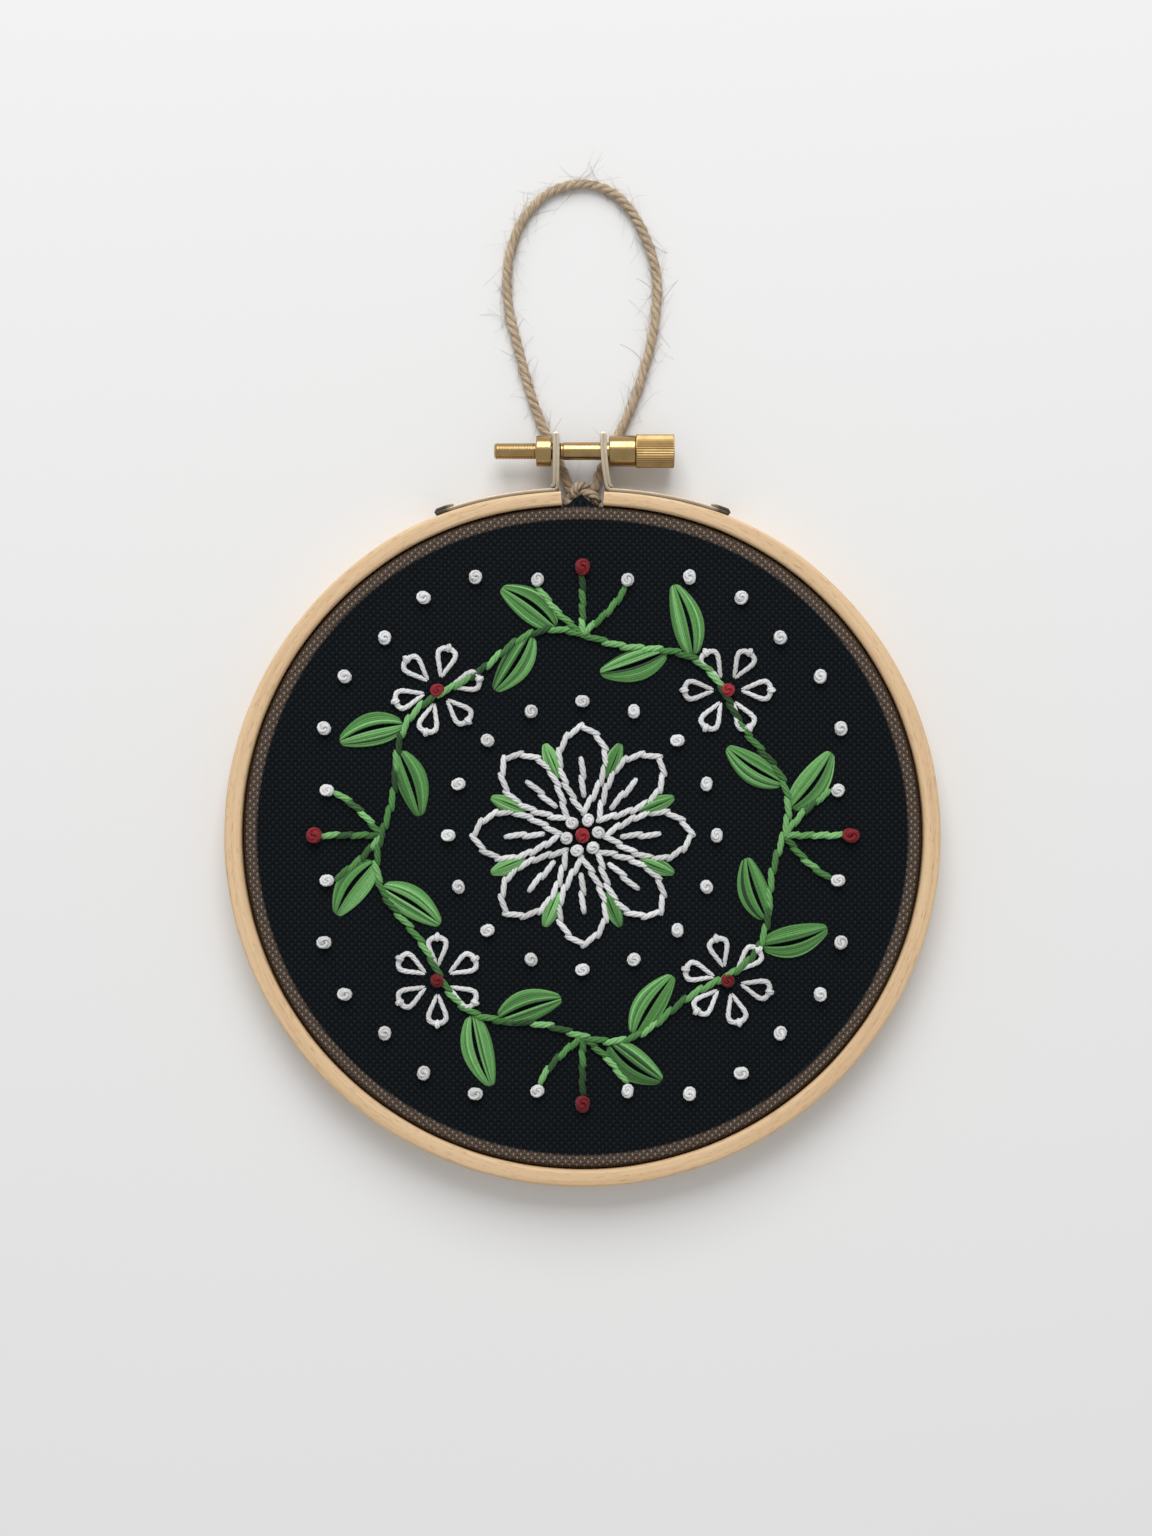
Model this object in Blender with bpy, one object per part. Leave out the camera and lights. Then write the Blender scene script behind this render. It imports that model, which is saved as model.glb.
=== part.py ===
"""Embroidery hoop with stretched cloth, clamp screw and hanging twine, lying on its back.

+X is to the viewer's right, +Y runs up towards the clamp screw and +Z is the front's normal.
The origin is under the middle of the framed piece, on the surface that it lies on.
"""

import math

import bmesh
import bpy
from mathutils import Matrix, Vector

MM = 0.001

# Driving dimensions, in metres
HOOP_RADIUS = 80.2 * MM
HOOP_WALL = 3.9 * MM
HOOP_DEPTH = 9.8 * MM
OVAL = 0.982
TOP_FLATTENING = 0.9 * MM
END_THINNING = 0.8 * MM
FLAT_SPREAD = math.radians(36)
SEAT_GAP = 0.3 * MM
CLOTH_THICK = 1.0 * MM
SCREW_HEIGHT_ABOVE_CENTRE = 86.3 * MM
LUG_TOP_ABOVE_CENTRE = 90.3 * MM
STRIP_WIDTH = 6.5 * MM
SCREW_SHAFT_RADIUS = 2.0 * MM
NUT_RADIUS = 3.45 * MM
TWINE_RADIUS = 1.1 * MM
TWINE_LIFT = 0.05 * MM
NUT_OVER_TWINE = 0.35 * MM
FACE_RECESS = 0.6 * MM
CLOTH_CLEARANCE = 0.4 * MM
MERGE_DISTANCE = 0.01 * MM

# The framed piece spans from the hoop's foot to the lugs' tops, and the origin is halfway
HOOP_HALF_HEIGHT = HOOP_RADIUS * OVAL
CENTRE_Y = (HOOP_HALF_HEIGHT - LUG_TOP_ABOVE_CENTRE) / 2

HOOP_INNER_RADIUS = HOOP_RADIUS - HOOP_WALL

# The twine lies on the surface and the nut passes just over it
TWINE_Z = TWINE_RADIUS + TWINE_LIFT
SCREW_Z = TWINE_Z + TWINE_RADIUS + NUT_OVER_TWINE + NUT_RADIUS
SCREW_Y = CENTRE_Y + SCREW_HEIGHT_ABOVE_CENTRE

# The cloth's face lies a little below the outer hoop's front edge
CLOTH_FACE_Z = HOOP_DEPTH - FACE_RECESS
CLOTH_OUTER_RADIUS = HOOP_INNER_RADIUS - CLOTH_CLEARANCE
CLOTH_BACK_Z = 0.4 * MM

HOOP_GAP_HALF = 4.75 * MM
BORE_RADIUS = SCREW_SHAFT_RADIUS + SEAT_GAP
SMOOTH_ANGLE = math.radians(35)
LUG_THICK = 1.7 * MM
LEFT_LUG_FACE = 5.0 * MM
RIGHT_LUG_FACE = 4.0 * MM


def clear_scene():
    for old in list(bpy.data.objects):
        bpy.data.objects.remove(old, do_unlink=True)


def material(name, colour, roughness, metallic=0.0):
    made = bpy.data.materials.new(name)
    made.use_nodes = True
    shader = made.node_tree.nodes["Principled BSDF"]
    shader.inputs["Base Color"].default_value = (*colour, 1.0)
    shader.inputs["Roughness"].default_value = roughness
    shader.inputs["Metallic"].default_value = metallic
    return made


def object_from(bm, name, its_material):
    """The finished bmesh as an object of this name, shaded smooth but for its real edges."""
    bmesh.ops.recalc_face_normals(bm, faces=bm.faces)
    mesh = bpy.data.meshes.new(name)
    bm.to_mesh(mesh)
    bm.free()
    mesh.shade_smooth()
    mesh.set_sharp_from_angle(angle=SMOOTH_ANGLE)
    made = bpy.data.objects.new(name, mesh)
    bpy.context.scene.collection.objects.link(made)
    made.data.materials.append(its_material)
    return made


def pulled_down(radius, away):
    """How far the clamp flattens the round shape at this angle from its top."""
    if away > FLAT_SPREAD:
        return 0.0
    share = math.cos(math.pi / 2 * away / FLAT_SPREAD) ** 2
    inside = min(radius / HOOP_INNER_RADIUS, 1.0) ** 2
    in_wall = min(max(radius - HOOP_INNER_RADIUS, 0.0) / HOOP_WALL, 1.0)
    return share * (TOP_FLATTENING * inside + END_THINNING * in_wall)


def place_hoop_shape(bm):
    """Brings a round shape about the origin to the clamped hoop's shape and place."""
    for vert in bm.verts:
        away = abs(math.atan2(vert.co.x, vert.co.y))
        vert.co.y -= pulled_down(vert.co.xy.length, away)
    bmesh.ops.scale(bm, vec=(1.0, OVAL, 1.0), verts=bm.verts)
    bmesh.ops.translate(bm, vec=(0.0, CENTRE_Y, 0.0), verts=bm.verts)


def polyline(bm, points):
    """Edges through the points, in order."""
    verts = [bm.verts.new(point) for point in points]
    return [bm.edges.new(pair) for pair in zip(verts, verts[1:])]


# Wooden hoops

HOOP_STEPS = 90
OUTER_EDGE_ROUNDING = 0.8 * MM
INNER_EDGE_ROUNDING = 0.6 * MM
INNER_WALL = 3.2 * MM
INNER_BACK_CLEARANCE = 0.4 * MM


def hoop_section(bm, inner, outer, low, high, rounding, segments):
    """A rectangular section with rounded corners, as a face on the XZ plane."""
    corners = [(inner, 0, low), (outer, 0, low), (outer, 0, high), (inner, 0, high)]
    face = bm.faces.new([bm.verts.new(corner) for corner in corners])
    bmesh.ops.bevel(
        bm,
        geom=list(face.verts),
        offset=rounding,
        segments=segments,
        profile=0.5,
        affect="VERTICES",
        material=-1,
    )
    return list(bm.faces)


def build_outer_hoop():
    """A bent wooden strip whose ends stand apart between the two lugs."""
    opening = math.asin(HOOP_GAP_HALF / (HOOP_RADIUS - HOOP_WALL / 2))
    bm = bmesh.new()
    section = hoop_section(
        bm, HOOP_INNER_RADIUS, HOOP_RADIUS, 0.0, HOOP_DEPTH, OUTER_EDGE_ROUNDING, 2
    )
    start = math.pi / 2 + opening
    bmesh.ops.rotate(bm, cent=(0, 0, 0), matrix=Matrix.Rotation(start, 3, "Z"), verts=bm.verts)
    bmesh.ops.spin(
        bm,
        geom=section + list(bm.edges) + list(bm.verts),
        cent=(0, 0, 0),
        axis=(0, 0, 1),
        angle=2 * math.pi - 2 * opening,
        steps=HOOP_STEPS,
        use_duplicate=False,
    )
    bmesh.ops.holes_fill(bm, edges=[edge for edge in bm.edges if edge.is_boundary], sides=0)
    place_hoop_shape(bm)
    return object_from(bm, "hoop_outer", material("outer_wood", (0.71, 0.53, 0.34), 0.5))


def build_inner_hoop():
    """The closed ring that the cloth is stretched over, hidden but for its inner side."""
    outer = CLOTH_OUTER_RADIUS - CLOTH_THICK - SEAT_GAP
    low = CLOTH_BACK_Z + CLOTH_THICK + INNER_BACK_CLEARANCE
    high = CLOTH_FACE_Z - CLOTH_THICK - SEAT_GAP
    bm = bmesh.new()
    section = hoop_section(bm, outer - INNER_WALL, outer, low, high, INNER_EDGE_ROUNDING, 1)
    bmesh.ops.delete(bm, geom=section, context="FACES_ONLY")
    bmesh.ops.spin(
        bm,
        geom=list(bm.edges) + list(bm.verts),
        cent=(0, 0, 0),
        axis=(0, 0, 1),
        angle=2 * math.pi,
        steps=HOOP_STEPS,
        use_merge=True,
    )
    bmesh.ops.remove_doubles(bm, verts=bm.verts, dist=MERGE_DISTANCE)
    place_hoop_shape(bm)
    return object_from(bm, "hoop_inner", material("inner_wood", (0.74, 0.58, 0.40), 0.55))


# Stretched cloth, its margin turned in behind the inner hoop

FLAP_EDGE_RADIUS = 63.5 * MM
FLAP_START_RADIUS = 71.0 * MM
FLAP_WAVES = 18
FLAP_WAVE_HEIGHT = 0.9 * MM
CLOTH_STEPS = 144
PLEAT_REACH = 4.0 * MM
PLEAT_LEAN = 0.5 * MM
PLEAT_LOW_Z = 4.3 * MM
NEAR = 0.1 * MM


def cloth_profile():
    """Outer side of the cloth from the flat face over the rim and round to the turned-in edge."""
    rim_round = 1.3 * MM
    back_round = 1.5 * MM
    diagonal = math.sqrt(0.5)
    outer = CLOTH_OUTER_RADIUS
    return (
        (outer - 2 * rim_round, CLOTH_FACE_Z),
        (outer - rim_round, CLOTH_FACE_Z),
        (outer - rim_round * (1 - diagonal), CLOTH_FACE_Z - rim_round * (1 - diagonal)),
        (outer, CLOTH_FACE_Z - rim_round),
        (outer, PLEAT_LOW_Z),
        (outer, CLOTH_BACK_Z + back_round),
        (outer - back_round * (1 - diagonal), CLOTH_BACK_Z + back_round * (1 - diagonal)),
        (outer - back_round, CLOTH_BACK_Z),
        (FLAP_START_RADIUS, CLOTH_BACK_Z),
        ((FLAP_START_RADIUS + FLAP_EDGE_RADIUS) / 2, CLOTH_BACK_Z + FLAP_WAVE_HEIGHT / 2),
        (FLAP_EDGE_RADIUS, CLOTH_BACK_Z + FLAP_WAVE_HEIGHT),
    )


def gather_margin(bm):
    """Raises the turned-in margin in uneven waves that grow towards its edge."""
    slow_wave_share = 0.35
    edge_wander = 0.012
    for vert in bm.verts:
        radius = math.hypot(vert.co.x, vert.co.y)
        if radius > FLAP_START_RADIUS - NEAR or vert.co.z > CLOTH_FACE_Z / 2:
            continue
        angle = math.atan2(vert.co.y, vert.co.x)
        share = (FLAP_START_RADIUS - radius) / (FLAP_START_RADIUS - FLAP_EDGE_RADIUS)
        wave = math.sin(FLAP_WAVES * angle) + slow_wave_share * (math.sin(7 * angle + 1) + 1)
        vert.co.z += share * FLAP_WAVE_HEIGHT * wave
        stretch = 1 + edge_wander * share * math.sin(5 * angle)
        vert.co.x *= stretch
        vert.co.y *= stretch


def raise_pleat(bm):
    """Pushes one small pleat of the cloth out through the outer hoop's gap."""
    half_step = math.pi / CLOTH_STEPS
    for vert in bm.verts:
        radius = math.hypot(vert.co.x, vert.co.y)
        away = abs(math.atan2(vert.co.x, vert.co.y))
        on_skirt = radius > CLOTH_OUTER_RADIUS - CLOTH_THICK
        above_knot = PLEAT_LOW_Z + NEAR < vert.co.z < CLOTH_FACE_Z - NEAR
        if away < half_step and on_skirt and above_knot:
            vert.co.y += PLEAT_REACH
            vert.co.x -= PLEAT_LEAN


def build_cloth():
    """One sheet: the face, the skirt between the hoops and the gathered margin."""
    bm = bmesh.new()
    edges = polyline(bm, [(0.0, radius, z) for radius, z in cloth_profile()])
    bmesh.ops.spin(
        bm,
        geom=edges + list(bm.verts),
        cent=(0, 0, 0),
        axis=(0, 0, 1),
        angle=2 * math.pi,
        steps=CLOTH_STEPS,
        use_merge=True,
    )
    bmesh.ops.remove_doubles(bm, verts=bm.verts, dist=MERGE_DISTANCE)
    face_ring = [
        edge
        for edge in bm.edges
        if edge.is_boundary and min(vert.co.z for vert in edge.verts) > CLOTH_FACE_Z / 2
    ]
    bmesh.ops.contextual_create(bm, geom=face_ring)
    gather_margin(bm)
    raise_pleat(bm)
    place_hoop_shape(bm)
    made = object_from(bm, "cloth", material("black_cloth", (0.010, 0.012, 0.015), 0.95))
    solidify = made.modifiers.new("cloth thickness", "SOLIDIFY")
    solidify.thickness = CLOTH_THICK
    solidify.offset = -1.0
    solidify.use_even_offset = True
    return made


# Folded metal strips with the lugs that the screw passes through

STRIP_THICK = 0.55 * MM
STRIP_INNER_RADIUS = HOOP_RADIUS + SEAT_GAP
STRIP_OUTER_RADIUS = STRIP_INNER_RADIUS + STRIP_THICK
STRIP_END_X = 32.5 * MM
STRIP_HEM_LENGTH = 3.6 * MM
LUG_FOOT_FLARE = 0.9 * MM


def arc_point(radius, x):
    """Point at this x on a line that follows the hoop's outside, on its upper half."""
    round_y = math.sqrt(radius**2 - x**2) - pulled_down(radius, math.asin(abs(x) / radius))
    return Vector((x, CENTRE_Y + OVAL * round_y, 0.0))


def strip_outline(lug_face):
    """The strip seen from the front, for the right-hand side of the screw."""
    bends = 9
    top_radius = LUG_THICK / 2
    top_centre = Vector((lug_face + top_radius, CENTRE_Y + LUG_TOP_ABOVE_CENTRE - top_radius, 0.0))
    lug_back = lug_face + LUG_THICK
    foot_x = lug_back + LUG_FOOT_FLARE
    hem_x = STRIP_END_X - STRIP_HEM_LENGTH
    hem_radius = STRIP_OUTER_RADIUS + STRIP_THICK
    inner_xs = [STRIP_END_X + (lug_face - STRIP_END_X) * i / bends for i in range(bends + 1)]
    outer_xs = [foot_x + (hem_x - foot_x) * i / bends for i in range(bends + 1)]
    points = [arc_point(STRIP_INNER_RADIUS, x) for x in inner_xs]
    for i in range(5):
        turn = math.pi - math.pi * i / 4
        points.append(top_centre + top_radius * Vector((math.cos(turn), math.sin(turn), 0.0)))
    points.append(arc_point(STRIP_OUTER_RADIUS, lug_back) + Vector((0.0, 2 * LUG_FOOT_FLARE, 0.0)))
    points += [arc_point(STRIP_OUTER_RADIUS, x) for x in outer_xs]
    points.append(arc_point(hem_radius, hem_x + STRIP_THICK / 2))
    points.append(arc_point(hem_radius, STRIP_END_X - STRIP_THICK / 2))
    points.append(arc_point(STRIP_OUTER_RADIUS, STRIP_END_X))
    return points


def bore_cutter(name):
    """A hidden bar along the screw's axis that cuts the lugs' holes."""
    bar_length = 3 * (LEFT_LUG_FACE + RIGHT_LUG_FACE)
    bm = bmesh.new()
    bmesh.ops.create_cone(
        bm,
        cap_ends=True,
        segments=28,
        radius1=BORE_RADIUS,
        radius2=BORE_RADIUS,
        depth=bar_length,
    )
    bmesh.ops.rotate(bm, cent=(0, 0, 0), matrix=Matrix.Rotation(math.pi / 2, 3, "Y"), verts=bm.verts)
    bmesh.ops.translate(bm, vec=(0.0, SCREW_Y, SCREW_Z), verts=bm.verts)
    cutter = object_from(bm, name, material("cutter", (0.5, 0.5, 0.5), 0.5))
    cutter.hide_render = True
    cutter.display_type = "WIRE"
    return cutter


def cut(target, cutter):
    modifier = target.modifiers.new("cut " + cutter.name, "BOOLEAN")
    modifier.operation = "DIFFERENCE"
    modifier.solver = "EXACT"
    modifier.object = cutter


def build_bracket(name, side, lug_face, metal, cutter):
    """One strip: round the hoop's outside, hemmed at its end, and folded up into the lug."""
    bm = bmesh.new()
    outline = [Vector((side * point.x, point.y, 0.0)) for point in strip_outline(lug_face)]
    face = bm.faces.new([bm.verts.new(point) for point in outline])
    grown = bmesh.ops.extrude_face_region(bm, geom=[face])
    raised = [item for item in grown["geom"] if isinstance(item, bmesh.types.BMVert)]
    bmesh.ops.translate(bm, vec=(0.0, 0.0, STRIP_WIDTH), verts=raised)
    bmesh.ops.translate(bm, vec=(0.0, 0.0, SCREW_Z - STRIP_WIDTH / 2), verts=bm.verts)
    made = object_from(bm, name, metal)
    cut(made, cutter)
    return made


# Brass clamp screw and its nut, both turned about the screw's axis

THREAD_END_X = -19.8 * MM
COLLAR_START_X = RIGHT_LUG_FACE + LUG_THICK + SEAT_GAP
KNOB_START_X = 12.0 * MM
KNOB_END_X = 20.6 * MM
COLLAR_RADIUS = 3.4 * MM
KNOB_RADIUS = 3.75 * MM
KNURL_DEPTH = 0.22 * MM
NUT_LENGTH = 3.4 * MM
NUT_START_X = -(LEFT_LUG_FACE + LUG_THICK + SEAT_GAP) - NUT_LENGTH


def turn_about_screw(profile, steps, closed):
    """Turns a profile of (x, radius) points about the screw's axis, still at the origin."""
    bm = bmesh.new()
    edges = polyline(bm, [(x, radius, 0.0) for x, radius in profile])
    if closed:
        bm.verts.ensure_lookup_table()
        edges.append(bm.edges.new((bm.verts[len(profile) - 1], bm.verts[0])))
    bmesh.ops.spin(
        bm,
        geom=edges + list(bm.verts),
        cent=(0, 0, 0),
        axis=(1, 0, 0),
        angle=2 * math.pi,
        steps=steps,
        use_merge=True,
    )
    bmesh.ops.remove_doubles(bm, verts=bm.verts, dist=MERGE_DISTANCE)
    return bm


def on_screw_axis(made):
    made.location = (0.0, SCREW_Y, SCREW_Z)


def build_screw(brass):
    """Threaded shaft, smooth collar and knurled knob in one piece, with a driver slot."""
    steps = 48
    chamfer = 0.3 * MM
    profile = (
        (THREAD_END_X, 0.0),
        (THREAD_END_X, SCREW_SHAFT_RADIUS - 2 * chamfer),
        (THREAD_END_X + 2 * chamfer, SCREW_SHAFT_RADIUS),
        (COLLAR_START_X, SCREW_SHAFT_RADIUS),
        (COLLAR_START_X, COLLAR_RADIUS - chamfer),
        (COLLAR_START_X + chamfer, COLLAR_RADIUS),
        (KNOB_START_X, COLLAR_RADIUS),
        (KNOB_START_X + chamfer, KNOB_RADIUS),
        (KNOB_END_X - chamfer, KNOB_RADIUS),
        (KNOB_END_X, KNOB_RADIUS - chamfer),
        (KNOB_END_X, 0.0),
    )
    bm = turn_about_screw(profile, steps, closed=False)
    for vert in bm.verts:
        radius = math.hypot(vert.co.y, vert.co.z)
        spoke = round(math.atan2(vert.co.z, vert.co.y) / (2 * math.pi / steps))
        if radius > KNOB_RADIUS - MERGE_DISTANCE and spoke % 2:
            vert.co.yz *= (KNOB_RADIUS - KNURL_DEPTH) / KNOB_RADIUS
    made = object_from(bm, "screw", brass)
    on_screw_axis(made)

    slot_depth = 0.9 * MM
    slot_width = 0.9 * MM
    slot_length = 3 * KNOB_RADIUS
    bm = bmesh.new()
    bmesh.ops.create_cube(bm, size=1.0)
    bmesh.ops.scale(bm, vec=(2 * slot_depth, slot_length, slot_width), verts=bm.verts)
    slot = object_from(bm, "slot_cutter", brass)
    slot.location = (KNOB_END_X, SCREW_Y, SCREW_Z)
    slot.hide_render = True
    slot.display_type = "WIRE"
    cut(made, slot)
    return made


def build_nut(brass):
    """A plain round nut that bears on the left lug."""
    chamfer = 0.3 * MM
    end_x = NUT_START_X + NUT_LENGTH
    profile = (
        (NUT_START_X, BORE_RADIUS),
        (NUT_START_X, NUT_RADIUS - chamfer),
        (NUT_START_X + chamfer, NUT_RADIUS),
        (end_x - chamfer, NUT_RADIUS),
        (end_x, NUT_RADIUS - chamfer),
        (end_x, BORE_RADIUS),
    )
    made = object_from(turn_about_screw(profile, 32, closed=True), "nut", brass)
    on_screw_axis(made)
    return made


# Hanging loop of twine, lying slack on the surface, and the knot between the hoop's ends

# Route of the loop from the knot's left side round to its right, from the hoop's centre
TWINE_ROUTE_MM = (
    (-3.2, 78.9),
    (-4.0, 81.4),
    (-6.3, 86.4),
    (-9.3, 93.2),
    (-12.0, 100.8),
    (-14.3, 109.4),
    (-16.5, 118.2),
    (-17.1, 126.0),
    (-16.4, 131.8),
    (-14.0, 138.4),
    (-10.7, 142.8),
    (-6.6, 145.9),
    (-1.2, 147.4),
    (4.2, 146.7),
    (8.6, 144.1),
    (12.2, 139.6),
    (15.1, 133.4),
    (16.7, 127.2),
    (16.9, 121.2),
    (15.9, 113.0),
    (13.3, 103.0),
    (10.0, 94.4),
    (6.5, 87.0),
    (3.9, 82.0),
    (3.1, 79.0),
)
TWINE_STEP = 2.3 * TWINE_RADIUS * 2
KNOT_TUBE_RADIUS = 0.66 * MM
KNOT_WIDTH_SCALE = 1.28 * MM
KNOT_HEIGHT_SCALE = 0.9 * MM
KNOT_DEPTH_SCALE = 1.3 * MM
KNOT_X = -0.1 * MM
KNOT_LIFT = 0.2 * MM
KNOT_TOP_ABOVE_CENTRE = 79.9 * MM


def smooth_route(points, samples):
    """Points on a smooth curve through the route's own points."""
    smooth = []
    padded = [2 * points[0] - points[1]] + points + [2 * points[-1] - points[-2]]
    for a, b, c, d in zip(padded, padded[1:], padded[2:], padded[3:]):
        for i in range(samples):
            t = i / samples
            bend = (c - a) * t + (2 * a - 5 * b + 4 * c - d) * t**2 + (3 * b - a - 3 * c + d) * t**3
            smooth.append(b + bend / 2)
    smooth.append(points[-1])
    return smooth


def evenly_spaced(points, spacing):
    """Points along the curve at even distances, both ends kept."""
    lengths = [0.0]
    for a, b in zip(points, points[1:]):
        lengths.append(lengths[-1] + (b - a).length)
    count = round(lengths[-1] / spacing)
    spaced = []
    reached = 0
    for i in range(count + 1):
        target = lengths[-1] * i / count
        while reached < len(points) - 2 and lengths[reached + 1] < target:
            reached += 1
        share = (target - lengths[reached]) / (lengths[reached + 1] - lengths[reached])
        spaced.append(points[reached].lerp(points[reached + 1], share))
    return spaced


def tube_from(name, points, radius, cyclic, its_material):
    curve = bpy.data.curves.new(name, "CURVE")
    curve.dimensions = "3D"
    curve.bevel_depth = radius
    curve.bevel_resolution = 2
    curve.use_fill_caps = True
    spline = curve.splines.new("POLY")
    spline.points.add(len(points) - 1)
    for slot, point in zip(spline.points, points):
        slot.co = (*point, 1.0)
    spline.use_cyclic_u = cyclic
    made = bpy.data.objects.new(name, curve)
    bpy.context.scene.collection.objects.link(made)
    made.data.materials.append(its_material)
    return made


def build_twine(jute):
    route = [Vector((x * MM, CENTRE_Y + y * MM, TWINE_Z)) for x, y in TWINE_ROUTE_MM]
    points = evenly_spaced(smooth_route(route, 12), TWINE_STEP)
    return tube_from("twine", points, TWINE_RADIUS, False, jute)


def build_knot(jute):
    """A single overhand knot between the hoop's ends, two of its lobes beside the pleat."""
    steps = 44
    top_y = CENTRE_Y + KNOT_TOP_ABOVE_CENTRE - KNOT_TUBE_RADIUS
    middle = Vector((KNOT_X, top_y - 3 * KNOT_HEIGHT_SCALE, 0.0))
    middle.z = KNOT_DEPTH_SCALE + KNOT_TUBE_RADIUS + KNOT_LIFT
    points = []
    for i in range(steps):
        turn = 2 * math.pi * i / steps
        around = Vector(
            (
                KNOT_WIDTH_SCALE * (math.sin(turn) + 2 * math.sin(2 * turn)),
                KNOT_HEIGHT_SCALE * (2 * math.cos(2 * turn) - math.cos(turn)),
                KNOT_DEPTH_SCALE * math.sin(3 * turn),
            )
        )
        points.append(middle + around)
    return tube_from("twine_knot", points, KNOT_TUBE_RADIUS, True, jute)


def build_all():
    clear_scene()
    nickel = material("nickel", (0.62, 0.58, 0.50), 0.32, 1.0)
    brass = material("brass", (0.66, 0.49, 0.26), 0.3, 1.0)
    jute = material("jute", (0.42, 0.31, 0.20), 0.9)
    build_outer_hoop()
    build_inner_hoop()
    build_cloth()
    lug_cutter = bore_cutter("lug_bore_cutter")
    build_bracket("bracket_left", -1.0, LEFT_LUG_FACE, nickel, lug_cutter)
    build_bracket("bracket_right", 1.0, RIGHT_LUG_FACE, nickel, lug_cutter)
    build_screw(brass)
    build_nut(brass)
    build_twine(jute)
    build_knot(jute)


build_all()
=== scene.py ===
import math

import bmesh
import bpy
import numpy as np
from mathutils import Matrix, Vector, noise


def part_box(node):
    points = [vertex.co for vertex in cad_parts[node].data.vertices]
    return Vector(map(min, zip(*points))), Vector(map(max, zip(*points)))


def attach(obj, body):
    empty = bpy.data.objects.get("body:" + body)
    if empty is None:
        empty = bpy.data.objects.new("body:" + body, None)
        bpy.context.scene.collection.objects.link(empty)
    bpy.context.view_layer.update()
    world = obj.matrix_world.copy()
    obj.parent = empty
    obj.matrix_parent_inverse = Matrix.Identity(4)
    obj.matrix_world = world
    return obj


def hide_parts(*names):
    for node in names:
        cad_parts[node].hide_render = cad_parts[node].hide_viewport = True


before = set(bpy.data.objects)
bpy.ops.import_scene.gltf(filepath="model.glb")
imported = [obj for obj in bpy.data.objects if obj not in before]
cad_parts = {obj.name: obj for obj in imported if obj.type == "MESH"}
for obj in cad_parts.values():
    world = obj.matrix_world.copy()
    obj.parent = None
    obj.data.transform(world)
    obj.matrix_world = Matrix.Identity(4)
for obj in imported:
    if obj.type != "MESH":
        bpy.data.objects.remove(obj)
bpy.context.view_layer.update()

MM = 0.001

# Camera
# The piece lies on its back and the camera looks straight down on it from 0.6 m above its front.
# The height that the picture covers at the hoop's front edge gives the lens.

outer_low, outer_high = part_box("hoop_outer")
OVAL = 0.982
HOOP_RADIUS = (outer_high.x - outer_low.x) / 2
HOOP_FRONT_Z = outer_high.z
CENTRE_Y = outer_low.y + OVAL * HOOP_RADIUS

VIEW_DISTANCE = 600 * MM
VIEW_HEIGHT = 343.3 * MM
VIEW_RIGHT_OF_CENTRE = -1.45 * MM
VIEW_ABOVE_CENTRE = 15.05 * MM


def placed(name, data):
    """A new object of this mesh, lamp or camera in the scene."""
    made = bpy.data.objects.new(name, data)
    bpy.context.scene.collection.objects.link(made)
    return made


lens = bpy.data.cameras.new("camera")
lens.sensor_width = 36.0
lens.lens = lens.sensor_width * VIEW_DISTANCE / VIEW_HEIGHT
lens.clip_start = 0.01
camera = placed("camera", lens)
camera.location = (
    VIEW_RIGHT_OF_CENTRE,
    CENTRE_Y + VIEW_ABOVE_CENTRE,
    HOOP_FRONT_Z + VIEW_DISTANCE,
)
bpy.context.scene.camera = camera

# Hanging loop
# Jute twine of three plies, 2.2 mm thick, doubled into a loop and knotted between the hoop's ends.
# It is limp and hairy, lies flat above the clamp and passes under the screw on both sides.

TWINE_RADIUS = 1.1 * MM
TWINE_Z = 1.15 * MM
TWINE_POINTS = 281
PLY_COUNT = 3
PLY_RADIUS = 0.56 * MM
PLY_OFFSET = 0.57 * MM
PLY_PITCH = 6.4 * MM

# Route from the knot's left side round to its right, in mm from the hoop's centre
TWINE_ROUTE_MM = (
    (-2.3, 77.6),
    (-3.2, 78.9),
    (-4.0, 81.4),
    (-6.3, 86.4),
    (-9.3, 93.2),
    (-12.0, 100.8),
    (-14.3, 109.4),
    (-16.5, 118.2),
    (-17.1, 126.0),
    (-16.4, 131.8),
    (-14.0, 138.4),
    (-10.7, 142.8),
    (-6.6, 145.9),
    (-1.2, 147.4),
    (4.2, 146.7),
    (8.6, 144.1),
    (12.2, 139.6),
    (15.1, 133.4),
    (16.7, 127.2),
    (16.9, 121.2),
    (15.9, 113.0),
    (13.3, 103.0),
    (10.0, 94.4),
    (6.5, 87.0),
    (3.9, 82.0),
    (3.1, 79.0),
    (2.2, 77.7),
)

KNOT_RADIUS_SHARE = 0.86
KNOT_WIDTH_SCALE = 1.28 * MM
KNOT_HEIGHT_SCALE = 0.9 * MM
KNOT_DEPTH_SCALE = 1.3 * MM
KNOT_X = -0.1 * MM
KNOT_LIFT = 0.2 * MM
KNOT_TOP_ABOVE_CENTRE = 80.0 * MM
KNOT_POINTS = 160


def smooth_route(points, samples):
    """Points on a smooth curve through the route's own points."""
    points = np.asarray(points, dtype=float)
    ends = np.vstack((2 * points[:1] - points[1:2], points, 2 * points[-1:] - points[-2:-1]))
    t = np.linspace(0, 1, samples, endpoint=False)[:, None]
    runs = []
    for a, b, c, d in zip(ends, ends[1:], ends[2:], ends[3:]):
        bend = (c - a) * t + (2 * a - 5 * b + 4 * c - d) * t**2 + (3 * b - a - 3 * c + d) * t**3
        runs.append(b + bend / 2)
    return np.vstack(runs + [points[-1:]])


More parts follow.
